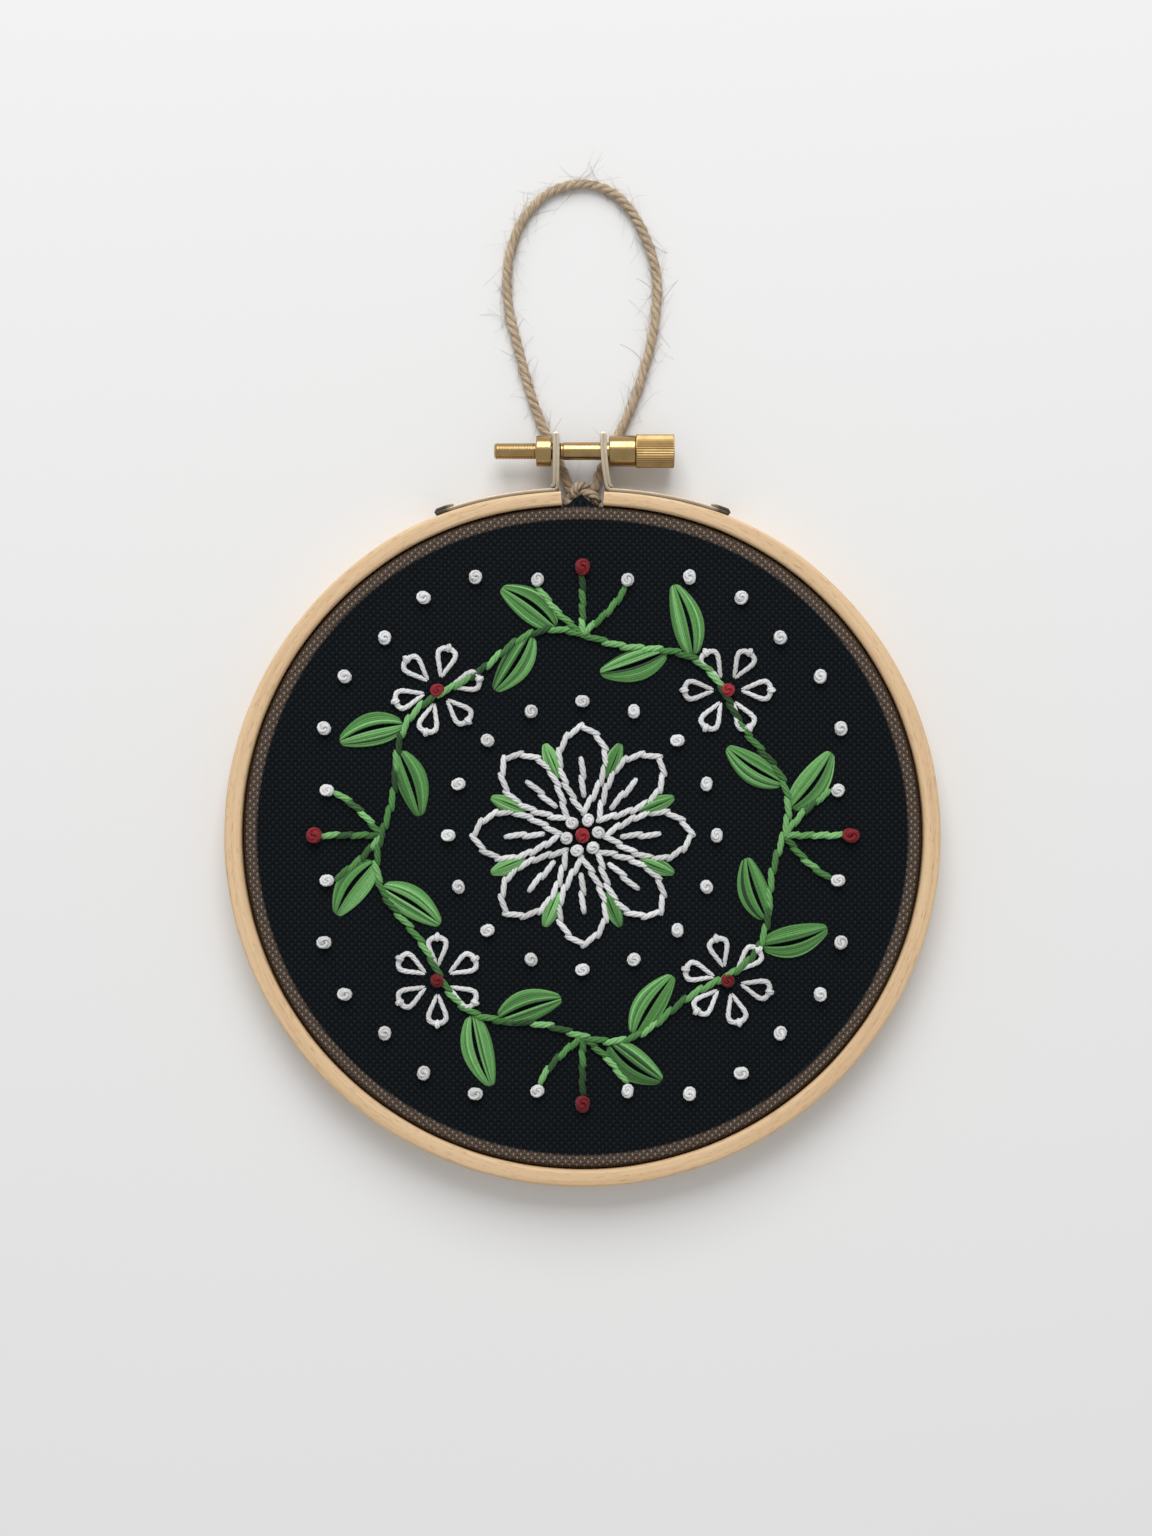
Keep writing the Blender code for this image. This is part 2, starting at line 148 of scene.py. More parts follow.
def evenly_spaced(points, count):
    """This many points at even distances along the curve, both ends kept."""
    steps = np.linalg.norm(np.diff(points, axis=0), axis=1)
    reached = np.concatenate(([0.0], np.cumsum(steps)))
    wanted = np.linspace(0, reached[-1], count)
    columns = [np.interp(wanted, reached, column) for column in points.T]
    return np.stack(columns, axis=1)


def frames_along(paths):
    """For each path its vectors ahead, to the side and across at each point, and the distance."""
    ahead = np.gradient(paths, axis=1)
    ahead /= np.linalg.norm(ahead, axis=2, keepdims=True)
    steep = np.abs(ahead[:, 0, 2:]) > 0.9
    side = np.zeros_like(paths)
    side[:, 0] = np.where(steep, (1.0, 0.0, 0.0), (0.0, 0.0, 1.0))
    for i in range(paths.shape[1]):
        carried = side[:, max(i - 1, 0)]
        lean = carried - ahead[:, i] * np.sum(carried * ahead[:, i], axis=1, keepdims=True)
        side[:, i] = lean / np.linalg.norm(lean, axis=1, keepdims=True)
    steps = np.linalg.norm(np.diff(paths, axis=1), axis=2)
    along = np.concatenate((np.zeros((len(paths), 1)), np.cumsum(steps, axis=1)), axis=1)
    return ahead, side, np.cross(ahead, side), along


def twisted(paths, count, offset, pitch):
    """Each path as this many strands that wind round it once in every pitch."""
    ahead, side, across, along = frames_along(paths)
    offset = np.broadcast_to(offset, paths.shape[:2])
    strands = []
    for k in range(count):
        turn = 2 * math.pi * (k / count - along / pitch)
        outwards = np.cos(turn)[..., None] * side + np.sin(turn)[..., None] * across
        strands.append(paths + offset[..., None] * outwards)
    return np.concatenate(strands)


def tube_pattern(sides, steps):
    """One closed tube of unit size, and the ring number and angle of each of its points."""
    bm = bmesh.new()
    bmesh.ops.create_cone(
        bm, cap_ends=True, segments=sides, radius1=1.0, radius2=1.0, depth=1.0
    )
    long_edges = [e for e in bm.edges if abs(e.verts[0].co.z - e.verts[1].co.z) > 0.5]
    bmesh.ops.subdivide_edges(bm, edges=long_edges, cuts=steps - 1, use_grid_fill=True)
    mesh = bpy.data.meshes.new("tube pattern")
    bm.to_mesh(mesh)
    bm.free()
    places = np.array([vert.co[:] for vert in mesh.vertices])
    ring = np.rint((places[:, 2] + 0.5) * steps).astype(int)
    return mesh, ring, np.arctan2(places[:, 1], places[:, 0])


def tubes(name, paths, radii, sides, tones, fibre_pitch):
    """A mesh of closed tubes along the paths. Its attributes give each point's place on the thread."""
    paths = np.asarray(paths)
    radii = np.broadcast_to(radii, paths.shape[:2])
    pattern, ring, angle = tube_pattern(sides, paths.shape[1] - 1)
    bm = bmesh.new()
    for _ in paths:
        bm.from_mesh(pattern)
    mesh = bpy.data.meshes.new(name)
    bm.to_mesh(mesh)
    bm.free()
    bpy.data.meshes.remove(pattern)

    ahead, side, across, along = frames_along(paths)
    cosine = np.cos(angle)[None, :, None]
    sine = np.sin(angle)[None, :, None]
    outwards = cosine * side[:, ring] + sine * across[:, ring]
    places = paths[:, ring] + radii[:, ring, None] * outwards
    mesh.vertices.foreach_set("co", places.astype(np.float32).ravel())

    turned = angle[None, :] + 2 * math.pi * along[:, ring] / fibre_pitch
    on_thread = np.stack((along[:, ring] / fibre_pitch, np.cos(turned), np.sin(turned)), axis=2)
    fibre = mesh.attributes.new("on_thread", "FLOAT_VECTOR", "POINT")
    fibre.data.foreach_set("vector", on_thread.astype(np.float32).ravel())
    tone = mesh.attributes.new("tone", "FLOAT", "POINT")
    tone.data.foreach_set("value", np.repeat(tones, len(ring)).astype(np.float32))
    mesh.update()
    mesh.shade_smooth()
    return mesh


def add_piece(mesh, finish, body):
    """The finished mesh with its finish, as an object that rides on its body."""
    mesh.materials.append(finish)
    piece = placed(mesh.name, mesh)
    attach(piece, body)
    return piece


def add_node(tree, kind, inputs=None, **settings):
    """A node with its settings made, and its inputs set to values or linked to sockets."""
    node = tree.nodes.new(kind)
    for setting, value in settings.items():
        setattr(node, setting, value)
    for socket, value in (inputs or {}).items():
        if isinstance(value, bpy.types.NodeSocket):
            tree.links.new(value, node.inputs[socket])
        else:
            node.inputs[socket].default_value = value
    return node


def calculate(tree, operation, *values):
    """The result of a Math node over numbers and sockets."""
    node = add_node(tree, "ShaderNodeMath", dict(enumerate(values)), operation=operation)
    return node.outputs[0]


def mix_colours(tree, share, first, second, blend="MIX"):
    """The colour between two colours or colour sockets."""
    inputs = {0: share, 6: first, 7: second}
    node = add_node(tree, "ShaderNodeMix", inputs, data_type="RGBA", blend_type=blend)
    return node.outputs[2]


def between(tree, value, from_low, from_high, to_low=0.0, to_high=1.0):
    """The value's place in one range, moved to the other and kept inside it."""
    inputs = {0: value, 1: from_low, 2: from_high, 3: to_low, 4: to_high}
    return add_node(tree, "ShaderNodeMapRange", inputs, clamp=True).outputs[0]


def bumped(tree, height, distance, normal=None):
    """The normal of a surface raised by this height, which is given as a share of the distance."""
    inputs = {"Height": height, "Distance": distance}
    if normal is not None:
        inputs["Normal"] = normal
    return add_node(tree, "ShaderNodeBump", inputs).outputs[0]


def new_group(name, inputs, outputs):
    """An empty shader node group with these sockets, its input node and its output node."""
    group = bpy.data.node_groups.new(name, "ShaderNodeTree")
    for direction, sockets in (("INPUT", inputs), ("OUTPUT", outputs)):
        for label, kind in sockets:
            group.interface.new_socket(label, in_out=direction, socket_type="NodeSocket" + kind)
    return group, group.nodes.new("NodeGroupInput"), group.nodes.new("NodeGroupOutput")


def new_finish(name, roughness, metallic=0.0):
    """A new material, its node tree and its shader."""
    finish = bpy.data.materials.new(name)
    finish.use_nodes = True
    shader = finish.node_tree.nodes["Principled BSDF"]
    shader.inputs["Roughness"].default_value = roughness
    shader.inputs["Metallic"].default_value = metallic
    return finish, finish.node_tree, shader


def thread_fibres_group():
    """Fine fibres that run along a thread and wind with it, from the thread's own attributes."""
    group, given, result = new_group(
        "thread fibres",
        [("Length", "Float"), ("Fineness", "Float")],
        [("Fibre", "Float"), ("Patches", "Float"), ("Tone", "Float")],
    )
    place = add_node(group, "ShaderNodeAttribute", attribute_name="on_thread").outputs["Vector"]
    tone = add_node(group, "ShaderNodeAttribute", attribute_name="tone").outputs["Fac"]
    parts = add_node(group, "ShaderNodeSeparateXYZ", {0: place})
    stretched = add_node(
        group,
        "ShaderNodeCombineXYZ",
        {0: calculate(group, "MULTIPLY", parts.outputs[0], given.outputs["Length"])},
    )
    for axis in (1, 2):
        fine = calculate(group, "MULTIPLY", parts.outputs[axis], given.outputs["Fineness"])
        group.links.new(fine, stretched.inputs[axis])
    offset = calculate(group, "MULTIPLY", tone, 37.0)
    inputs = {"Vector": stretched.outputs[0], "W": offset, "Scale": 1.0, "Detail": 3.0}
    strands = add_node(group, "ShaderNodeTexNoise", inputs, noise_dimensions="4D")
    inputs = {"Vector": place, "W": offset, "Scale": 0.6, "Detail": 1.0}
    patches = add_node(group, "ShaderNodeTexNoise", inputs, noise_dimensions="4D")
    group.links.new(strands.outputs[0], result.inputs["Fibre"])
    group.links.new(patches.outputs[0], result.inputs["Patches"])
    group.links.new(tone, result.inputs["Tone"])
    return group


thread_fibres = thread_fibres_group()


def jute_finish():
    """Dry brown bast fibre, streaked pale and dark along its plies."""
    finish, tree, shader = new_finish("jute", 0.9)
    inputs = {"Length": 1.4, "Fineness": 4.5}
    fibres = add_node(tree, "ShaderNodeGroup", inputs, node_tree=thread_fibres)
    streak = between(tree, fibres.outputs["Fibre"], 0.36, 0.64)
    colour = mix_colours(tree, streak, (0.35, 0.23, 0.115, 1), (0.88, 0.70, 0.49, 1))
    patch = between(tree, fibres.outputs["Patches"], 0.35, 0.65, 0.0, 0.5)
    colour = mix_colours(tree, patch, colour, (0.60, 0.47, 0.33, 1))
    tree.links.new(colour, shader.inputs["Base Color"])
    tree.links.new(bumped(tree, streak, 0.12 * MM), shader.inputs["Normal"])
    shader.inputs["Specular IOR Level"].default_value = 0.25
    shader.inputs["Sheen Weight"].default_value = 0.25
    shader.inputs["Sheen Roughness"].default_value = 0.6
    return finish


def knot_path():
    """Closed path of a single overhand knot, its ends lapped so that the plies run on."""
    lap = 0.04
    turn = np.linspace(0, 2 * math.pi * (1 + lap), KNOT_POINTS)
    knot_radius = KNOT_RADIUS_SHARE * TWINE_RADIUS
    top_y = CENTRE_Y + KNOT_TOP_ABOVE_CENTRE - knot_radius
    middle_y = top_y - 3 * KNOT_HEIGHT_SCALE
    middle_z = KNOT_DEPTH_SCALE + knot_radius + KNOT_LIFT
    x = KNOT_X + KNOT_WIDTH_SCALE * (np.sin(turn) + 2 * np.sin(2 * turn))
    y = middle_y + KNOT_HEIGHT_SCALE * (2 * np.cos(2 * turn) - np.cos(turn))
    z = middle_z + KNOT_DEPTH_SCALE * np.sin(3 * turn)
    return np.stack((x, y, z), axis=1)


def uneven(rng, paths, radius, amount):
    """Radii along each path that swell and shrink a little."""
    points = paths.shape[1]
    along = np.linspace(0, 1, points)[None, :]
    swell = np.zeros(paths.shape[:2])
    for waves in (5, 13, 29):
        phase = rng.uniform(0, 2 * math.pi, (len(paths), 1))
        swell += np.sin(2 * math.pi * waves * along + phase) / 3
    return radius * (1 + amount * swell)


def stray_fibres(rng, path, radius, count):
    """Single loose fibres that leave the twine's surface at a low angle."""
    points = 6
    lowest = 0.05 * MM
    ahead, side, across, along = frames_along(path[None])
    where = rng.integers(0, len(path), count)
    around = rng.uniform(0, 2 * math.pi, count)[:, None]
    outwards = np.cos(around) * side[0, where] + np.sin(around) * across[0, where]
    lean = rng.uniform(0.12, 0.75, count)[:, None]
    sense = rng.choice((-1.0, 1.0), count)[:, None]
    heading = sense * ahead[0, where] + lean * outwards
    length = rng.uniform(1.6, 5.2, count)[:, None, None] * MM
    curl = rng.normal(0, 0.45, (count, 1, 3))
    t = np.linspace(0, 1, points)[None, :, None]
    start = path[where] + 0.85 * radius * outwards
    hairs = start[:, None] + length * (t * heading[:, None] + t**2 * curl)
    hairs[..., 2] = np.maximum(hairs[..., 2], lowest)
    return hairs


def make_twine():
    rng = np.random.default_rng(11)
    jute = jute_finish()
    route_mm = evenly_spaced(smooth_route(TWINE_ROUTE_MM, 16), TWINE_POINTS)
    route = np.empty((TWINE_POINTS, 3))
    route[:, 0] = route_mm[:, 0] * MM
    route[:, 1] = route_mm[:, 1] * MM + CENTRE_Y
    route[:, 2] = TWINE_Z

    plies = twisted(route[None], PLY_COUNT, PLY_OFFSET, PLY_PITCH)
    radii = uneven(rng, plies, PLY_RADIUS, 0.09)
    mesh = tubes("twine_loop", plies, radii, 10, rng.random(PLY_COUNT), 5 * MM)
    loop = add_piece(mesh, jute, "hoop")
    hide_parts("twine")

    tied = knot_path()
    plies = twisted(
        tied[None], PLY_COUNT, KNOT_RADIUS_SHARE * PLY_OFFSET, KNOT_RADIUS_SHARE * PLY_PITCH
    )
    radii = uneven(rng, plies, KNOT_RADIUS_SHARE * PLY_RADIUS, 0.06)
    mesh = tubes("twine_tied", plies, radii, 8, rng.random(PLY_COUNT), 4 * MM)
    knot = add_piece(mesh, jute, "hoop")
    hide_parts("twine_knot")

    hairs = np.concatenate(
        (
            stray_fibres(rng, route, TWINE_RADIUS, 620),
            stray_fibres(rng, tied, KNOT_RADIUS_SHARE * TWINE_RADIUS, 50),
        )
    )
    taper = np.linspace(1.0, 0.45, hairs.shape[1])[None, :]
    radii = rng.uniform(0.022, 0.042, (len(hairs), 1)) * MM * taper
    mesh = tubes("twine_fibres", hairs, radii, 3, rng.random(len(hairs)), 5 * MM)
    fibres = add_piece(mesh, jute, "hoop")


make_twine()

# Inner hoop
# A closed ring of pale beech with softly rounded edges, which the cloth is pulled over.
# Its front is covered by the cloth, and only its inner side and back edge show from behind.

SHEET_THICK = 0.45 * MM
SHEET_SEAT = 0.05 * MM
cloth_low, cloth_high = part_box("cloth")
CLOTH_RADIUS = cloth_high.x
CLOTH_FACE_Z = cloth_high.z
CLOTH_BACK_Z = 0.4 * MM
RING_WALL = 2.7 * MM
TOP_FLATTENING = 0.9 * MM
END_THINNING = 0.8 * MM
FLAT_SPREAD = math.radians(36)
OUTER_WALL = 3.9 * MM
HOOP_INNER_RADIUS = HOOP_RADIUS - OUTER_WALL
RING_RADIUS = CLOTH_RADIUS - SHEET_THICK - SHEET_SEAT
RING_FRONT_Z = CLOTH_FACE_Z - SHEET_THICK - SHEET_SEAT
GRAIN_ALONG = 22 * MM
GRAIN_ACROSS = 0.42 * MM


def wooden_section(inner, outer, low, high, rounding, segments):
    """A rectangular section with rounded corners on the XZ plane, as a bmesh of one face."""
    bm = bmesh.new()
    corners = [(inner, 0, low), (outer, 0, low), (outer, 0, high), (inner, 0, high)]
    face = bm.faces.new([bm.verts.new(corner) for corner in corners])
    bmesh.ops.bevel(
        bm,
        geom=list(face.verts),
        offset=rounding,
        segments=segments,
        profile=0.5,
        affect="VERTICES",
        material=-1,
    )
    long_edges = [edge for edge in bm.edges if edge.calc_length() > 1.5 * rounding]
    bmesh.ops.subdivide_edges(bm, edges=long_edges, cuts=3)
    return bm


def spin_round(bm, axis, steps, angle=2 * math.pi):
    """Spins all of the bmesh about an axis through the origin, closed up over a full turn."""
    full = angle > 2 * math.pi - 0.0001
    bmesh.ops.spin(
        bm,
        geom=list(bm.verts) + list(bm.edges) + list(bm.faces),
        cent=(0, 0, 0),
        axis=axis,
        angle=angle,
        steps=steps,
        use_merge=full,
    )
    if full:
        bmesh.ops.remove_doubles(bm, verts=bm.verts, dist=0.005 * MM)


def pulled_down(radius, away):
    """How far the clamp flattens the round shape at this angle from its top."""
    if away > FLAT_SPREAD:
        return 0.0
    share = math.cos(math.pi / 2 * away / FLAT_SPREAD) ** 2
    inside = min(radius / HOOP_INNER_RADIUS, 1.0) ** 2
    in_wall = min(max(radius - HOOP_INNER_RADIUS, 0.0) / OUTER_WALL, 1.0)
    return share * (TOP_FLATTENING * inside + END_THINNING * in_wall)


def to_hoop_place(bm):
    """Brings a round shape to the hoops' clamped shape: flatter by the gap, a little oval."""
    for vert in bm.verts:
        away = abs(math.atan2(vert.co.x, vert.co.y))
        vert.co.y -= pulled_down(vert.co.xy.length, away)
    bmesh.ops.scale(bm, vec=(1.0, OVAL, 1.0), verts=bm.verts)
    bmesh.ops.translate(bm, vec=(0.0, CENTRE_Y, 0.0), verts=bm.verts)


def smooth_mesh(bm, name, sharp_degrees=40):
    """The bmesh as a mesh, shaded smooth but for edges sharper than this."""
    mesh = bpy.data.meshes.new(name)
    bm.to_mesh(mesh)
    bm.free()
    mesh.shade_smooth()
    mesh.set_sharp_from_angle(angle=math.radians(sharp_degrees))
    return mesh


def hoop_grain_group():
    """Grain that runs round the hoops: soft bands, fine streaks and short dark pores."""
    group, given, result = new_group(
        "hoop grain",
        [("Place", "Vector")],
        [("Bands", "Float"), ("Streaks", "Float"), ("Pores", "Float")],
    )
    inputs = {0: given.outputs["Place"], 1: (0.0, CENTRE_Y, 0.0)}
    centred = add_node(group, "ShaderNodeVectorMath", inputs, operation="SUBTRACT").outputs[0]
    parts = add_node(group, "ShaderNodeSeparateXYZ", {0: centred})
    x, y, z = parts.outputs
    square_x = calculate(group, "MULTIPLY", x, x)
    square_y = calculate(group, "MULTIPLY", y, y)
    squared = calculate(group, "ADD", square_x, square_y)
    radius = calculate(group, "SQRT", squared)

    def pattern(along, across, detail, seed):
        """Noise on the bent strip, with cells of this size along and across its grain."""
        turns = HOOP_RADIUS / along
        u = calculate(group, "MULTIPLY", calculate(group, "DIVIDE", x, radius), turns)
        v = calculate(group, "MULTIPLY", calculate(group, "DIVIDE", y, radius), turns)
        w = calculate(group, "MULTIPLY", radius, 1 / across)
        place = add_node(group, "ShaderNodeCombineXYZ", {0: u, 1: v, 2: w}).outputs[0]
        depth = calculate(group, "MULTIPLY_ADD", z, 0.6 / across, seed)
        inputs = {"Vector": place, "W": depth, "Scale": 1.0, "Detail": detail}
        return add_node(group, "ShaderNodeTexNoise", inputs, noise_dimensions="4D").outputs[0]

    bands = pattern(3 * GRAIN_ALONG, 3 * GRAIN_ACROSS, 2.0, 3.0)
    streaks = pattern(GRAIN_ALONG, GRAIN_ACROSS, 3.0, 11.0)
    pores = pattern(GRAIN_ALONG / 9, GRAIN_ACROSS / 2, 1.0, 23.0)
    group.links.new(bands, result.inputs["Bands"])
    group.links.new(between(group, streaks, 0.3, 0.7), result.inputs["Streaks"])
    group.links.new(between(group, pores, 0.60, 0.72), result.inputs["Pores"])
    return group


hoop_grain = hoop_grain_group()


def wood_finish(name, pale, deep, pore_colour, roughness):
    """Bare sanded wood with its grain round the hoop."""
    finish, tree, shader = new_finish(name, roughness)
    place = add_node(tree, "ShaderNodeTexCoord").outputs["Object"]
    grain = add_node(tree, "ShaderNodeGroup", {"Place": place}, node_tree=hoop_grain)
    bands = between(tree, grain.outputs["Bands"], 0.35, 0.65, 0.0, 0.6)
    colour = mix_colours(tree, bands, pale, deep)
    streak_share = calculate(tree, "MULTIPLY", grain.outputs["Streaks"], 0.45)
    colour = mix_colours(tree, streak_share, colour, deep)
    pore_share = calculate(tree, "MULTIPLY", grain.outputs["Pores"], 0.5)
    colour = mix_colours(tree, pore_share, colour, pore_colour)
    tree.links.new(colour, shader.inputs["Base Color"])
    dents = calculate(tree, "ADD", grain.outputs["Streaks"], grain.outputs["Pores"])
    height = calculate(tree, "SUBTRACT", 1.0, dents)
    tree.links.new(bumped(tree, height, 0.03 * MM), shader.inputs["Normal"])
    rough = between(tree, grain.outputs["Streaks"], 0.0, 1.0, roughness - 0.06, roughness + 0.08)
    tree.links.new(rough, shader.inputs["Roughness"])
    shader.inputs["Specular IOR Level"].default_value = 0.35
    return finish


def make_inner_hoop():
    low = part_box("hoop_inner")[0].z - (SHEET_SEAT + SHEET_THICK)
    bm = wooden_section(RING_RADIUS - RING_WALL, RING_RADIUS, low, RING_FRONT_Z, 0.7 * MM, 3)
    bmesh.ops.delete(bm, geom=list(bm.faces), context="FACES_ONLY")
    spin_round(bm, (0, 0, 1), 216)
    bmesh.ops.recalc_face_normals(bm, faces=bm.faces)
    to_hoop_place(bm)
    finish = wood_finish(
        "inner_wood", (0.74, 0.58, 0.40, 1), (0.60, 0.43, 0.26, 1), (0.36, 0.22, 0.12, 1), 0.6
    )
    ring = add_piece(smooth_mesh(bm, "inner_ring"), finish, "hoop")
    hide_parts("hoop_inner")


make_inner_hoop()

# Cloth
# One sheet of black open plain weave, stretched drum-tight over the inner hoop and pinched by
# the outer one. Its margin is turned in behind and gathered, and one pleat shows in the gap.

WEAVE_PITCH = 0.84 * MM
THREAD_SHARE = 0.66
RIM_ROUND = 1.3 * MM
BACK_ROUND = 1.5 * MM
FACE_DROP = 0.15 * MM
MARGIN_START_RADIUS = 71.0 * MM
MARGIN_EDGE_RADIUS = 63.5 * MM
MARGIN_RISE = 0.9 * MM
MARGIN_WAVES = 18
PLEAT_REACH = 4.0 * MM
PLEAT_HALF_WIDTH = 3.2 * MM
PLEAT_LEAN = 0.5 * MM
PLEAT_LOW_Z = 4.3 * MM
PLEAT_EDGE = 1.2 * MM
WOOD_FADE = 0.6 * MM
RIM_FADE_START = 0.9 * MM
RIM_FADE_END = 0.1 * MM
PLEAT_FADE = 0.5 * MM
GROOVE_SHADE_START = 0.7 * MM
GROOVE_SHADE_FADE_START = 4 * MM
GROOVE_SHADE_FADE_END = 6 * MM


def cloth_section():
    """Points of (radius, height) from the face's middle round the rim to the margin's raw edge."""
    points = [(radius * MM, CLOTH_FACE_Z - FACE_DROP) for radius in range(0, 72, 3)]
    points.append((RING_RADIUS - RING_WALL - 0.4 * MM, CLOTH_FACE_Z - FACE_DROP))
    points.append((RING_RADIUS - RING_WALL + 0.5 * MM, CLOTH_FACE_Z - FACE_DROP / 3))
    points.append((RING_RADIUS - RING_WALL + 1.1 * MM, CLOTH_FACE_Z))
    for i in range(7):
        turn = math.pi / 2 * i / 6
        radius = CLOTH_RADIUS - RIM_ROUND * (1 - math.sin(turn))
        points.append((radius, CLOTH_FACE_Z - RIM_ROUND * (1 - math.cos(turn))))
    skirt_top = CLOTH_FACE_Z - RIM_ROUND
    skirt_foot = CLOTH_BACK_Z + BACK_ROUND
    for i in range(1, 12):
        points.append((CLOTH_RADIUS, skirt_top + (skirt_foot - skirt_top) * i / 12))
    for i in range(6):
        turn = math.pi / 2 * i / 5
        radius = CLOTH_RADIUS - BACK_ROUND * (1 - math.cos(turn))
        points.append((radius, skirt_foot - BACK_ROUND * math.sin(turn)))
    points.append((MARGIN_START_RADIUS, CLOTH_BACK_Z))
    for i in range(1, 7):
        radius = MARGIN_START_RADIUS + (MARGIN_EDGE_RADIUS - MARGIN_START_RADIUS) * i / 6
        points.append((radius, CLOTH_BACK_Z + MARGIN_RISE * i / 6))
    return points


def shape_cloth(vert):
    """Moves one point of the round sheet: margin gathers, the pleat and faint unevenness."""
    radius = math.hypot(vert.co.x, vert.co.y)
    angle = math.atan2(vert.co.y, vert.co.x)
    behind = vert.co.z < CLOTH_FACE_Z / 2
    if behind and radius < MARGIN_START_RADIUS:
        share = (MARGIN_START_RADIUS - radius) / (MARGIN_START_RADIUS - MARGIN_EDGE_RADIUS)
        wave = math.sin(MARGIN_WAVES * angle) + 0.35 * (math.sin(7 * angle + 1) + 1)
        crease = 0.3 * math.sin(3 * MARGIN_WAVES * angle + 2 * math.sin(5 * angle))
        vert.co.z += share * MARGIN_RISE * max(wave + crease, -0.9)
        stretch = 1 + share * (0.012 * math.sin(5 * angle) + 0.004 * math.sin(41 * angle))
        vert.co.x *= stretch
        vert.co.y *= stretch
    elif not behind and radius < RING_RADIUS - RING_WALL:
        vert.co.z += 0.06 * MM * noise.noise(Vector((vert.co.x, vert.co.y, 0.0)) / (14 * MM))
    near_gap = abs(vert.co.x + PLEAT_LEAN) < PLEAT_HALF_WIDTH and vert.co.y > 0
    if near_gap and radius > CLOTH_RADIUS - RIM_ROUND and vert.co.z > PLEAT_LOW_Z:
        out = 1 - abs(vert.co.x + PLEAT_LEAN) / PLEAT_HALF_WIDTH
        edge = min(1.0, (vert.co.z - PLEAT_LOW_Z) / PLEAT_EDGE)
        rim = min(1.0, (radius - CLOTH_RADIUS + RIM_ROUND) / RIM_ROUND)
        vert.co.y += PLEAT_REACH * out * edge * rim


def speckle(tree, place, scale, detail=2.0):
    """Plain noise at this place, from about 0.3 to 0.7."""
    inputs = {"Vector": place, "Scale": scale, "Detail": detail}
    return add_node(tree, "ShaderNodeTexNoise", inputs).outputs[0]


def plain_weave_group():
    """Warp and weft of a plain weave that pass over each other in turn, with open pores, and masks for
    a painted highlight on the warp's crossings and painted shade on the weft's.
    """
    group, given, result = new_group(
        "plain weave",
        [("Place", "Vector"), ("Pitch", "Float"), ("Thread Share", "Float")],
        [("Height", "Float"), ("Pore", "Float"), ("Warp Highlight", "Float"), ("Weft Shade", "Float")],
    )
    inputs = {"Vector": given.outputs["Place"], "Scale": 60.0, "Detail": 2.0}
    wander = add_node(group, "ShaderNodeTexNoise", inputs).outputs["Color"]
    inputs = {0: wander, 1: (0.5, 0.5, 0.5)}
    wander = add_node(group, "ShaderNodeVectorMath", inputs, operation="SUBTRACT").outputs[0]
    inputs = {0: wander, "Scale": 1.1 * MM}
    wander = add_node(group, "ShaderNodeVectorMath", inputs, operation="SCALE").outputs[0]
    inputs = {0: given.outputs["Place"], 1: wander}
    place = add_node(group, "ShaderNodeVectorMath", inputs, operation="ADD").outputs[0]
    parts = add_node(group, "ShaderNodeSeparateXYZ", {0: place})
    u = calculate(group, "DIVIDE", parts.outputs[0], given.outputs["Pitch"])
    v = calculate(group, "DIVIDE", parts.outputs[1], given.outputs["Pitch"])

    def across_thread(value):
        """Nought in the middle of a thread and one at its edge."""
        from_middle = calculate(group, "SUBTRACT", calculate(group, "FRACT", value), 0.5)
        doubled = calculate(group, "MULTIPLY", calculate(group, "ABSOLUTE", from_middle), 2.0)
        return calculate(group, "DIVIDE", doubled, given.outputs["Thread Share"])

    def thread_height(edge, along, other, phase):
        """A round thread that rises over every second crossing."""
        crown = calculate(group, "SUBTRACT", 1.0, calculate(group, "MULTIPLY", edge, edge))
        crown = calculate(group, "SQRT", calculate(group, "MAXIMUM", crown, 0.0))
        row = calculate(group, "FLOOR", other)
        swing = calculate(group, "ADD", calculate(group, "ADD", along, row), phase)
        over = calculate(group, "COSINE", calculate(group, "MULTIPLY", swing, math.pi))
        lift = between(group, over, -1.0, 1.0, 0.35, 1.0)
        return calculate(group, "MULTIPLY", crown, lift)

    warp_edge = across_thread(u)
    weft_edge = across_thread(v)
    warp = thread_height(warp_edge, v, u, -0.5)
    weft = thread_height(weft_edge, u, v, 0.5)
    height = calculate(group, "MAXIMUM", warp, weft)
    nearest = calculate(group, "MINIMUM", warp_edge, weft_edge)
    group.links.new(height, result.inputs["Height"])
    group.links.new(between(group, nearest, 0.86, 1.08), result.inputs["Pore"])
    # Masks for paint: a highlight on the warp's crossings and shade on the weft's crossings.
    group.links.new(between(group, warp, 0.78, 0.97), result.inputs["Warp Highlight"])
    group.links.new(between(group, weft, 0.72, 0.95), result.inputs["Weft Shade"])
    return group


plain_weave = plain_weave_group()


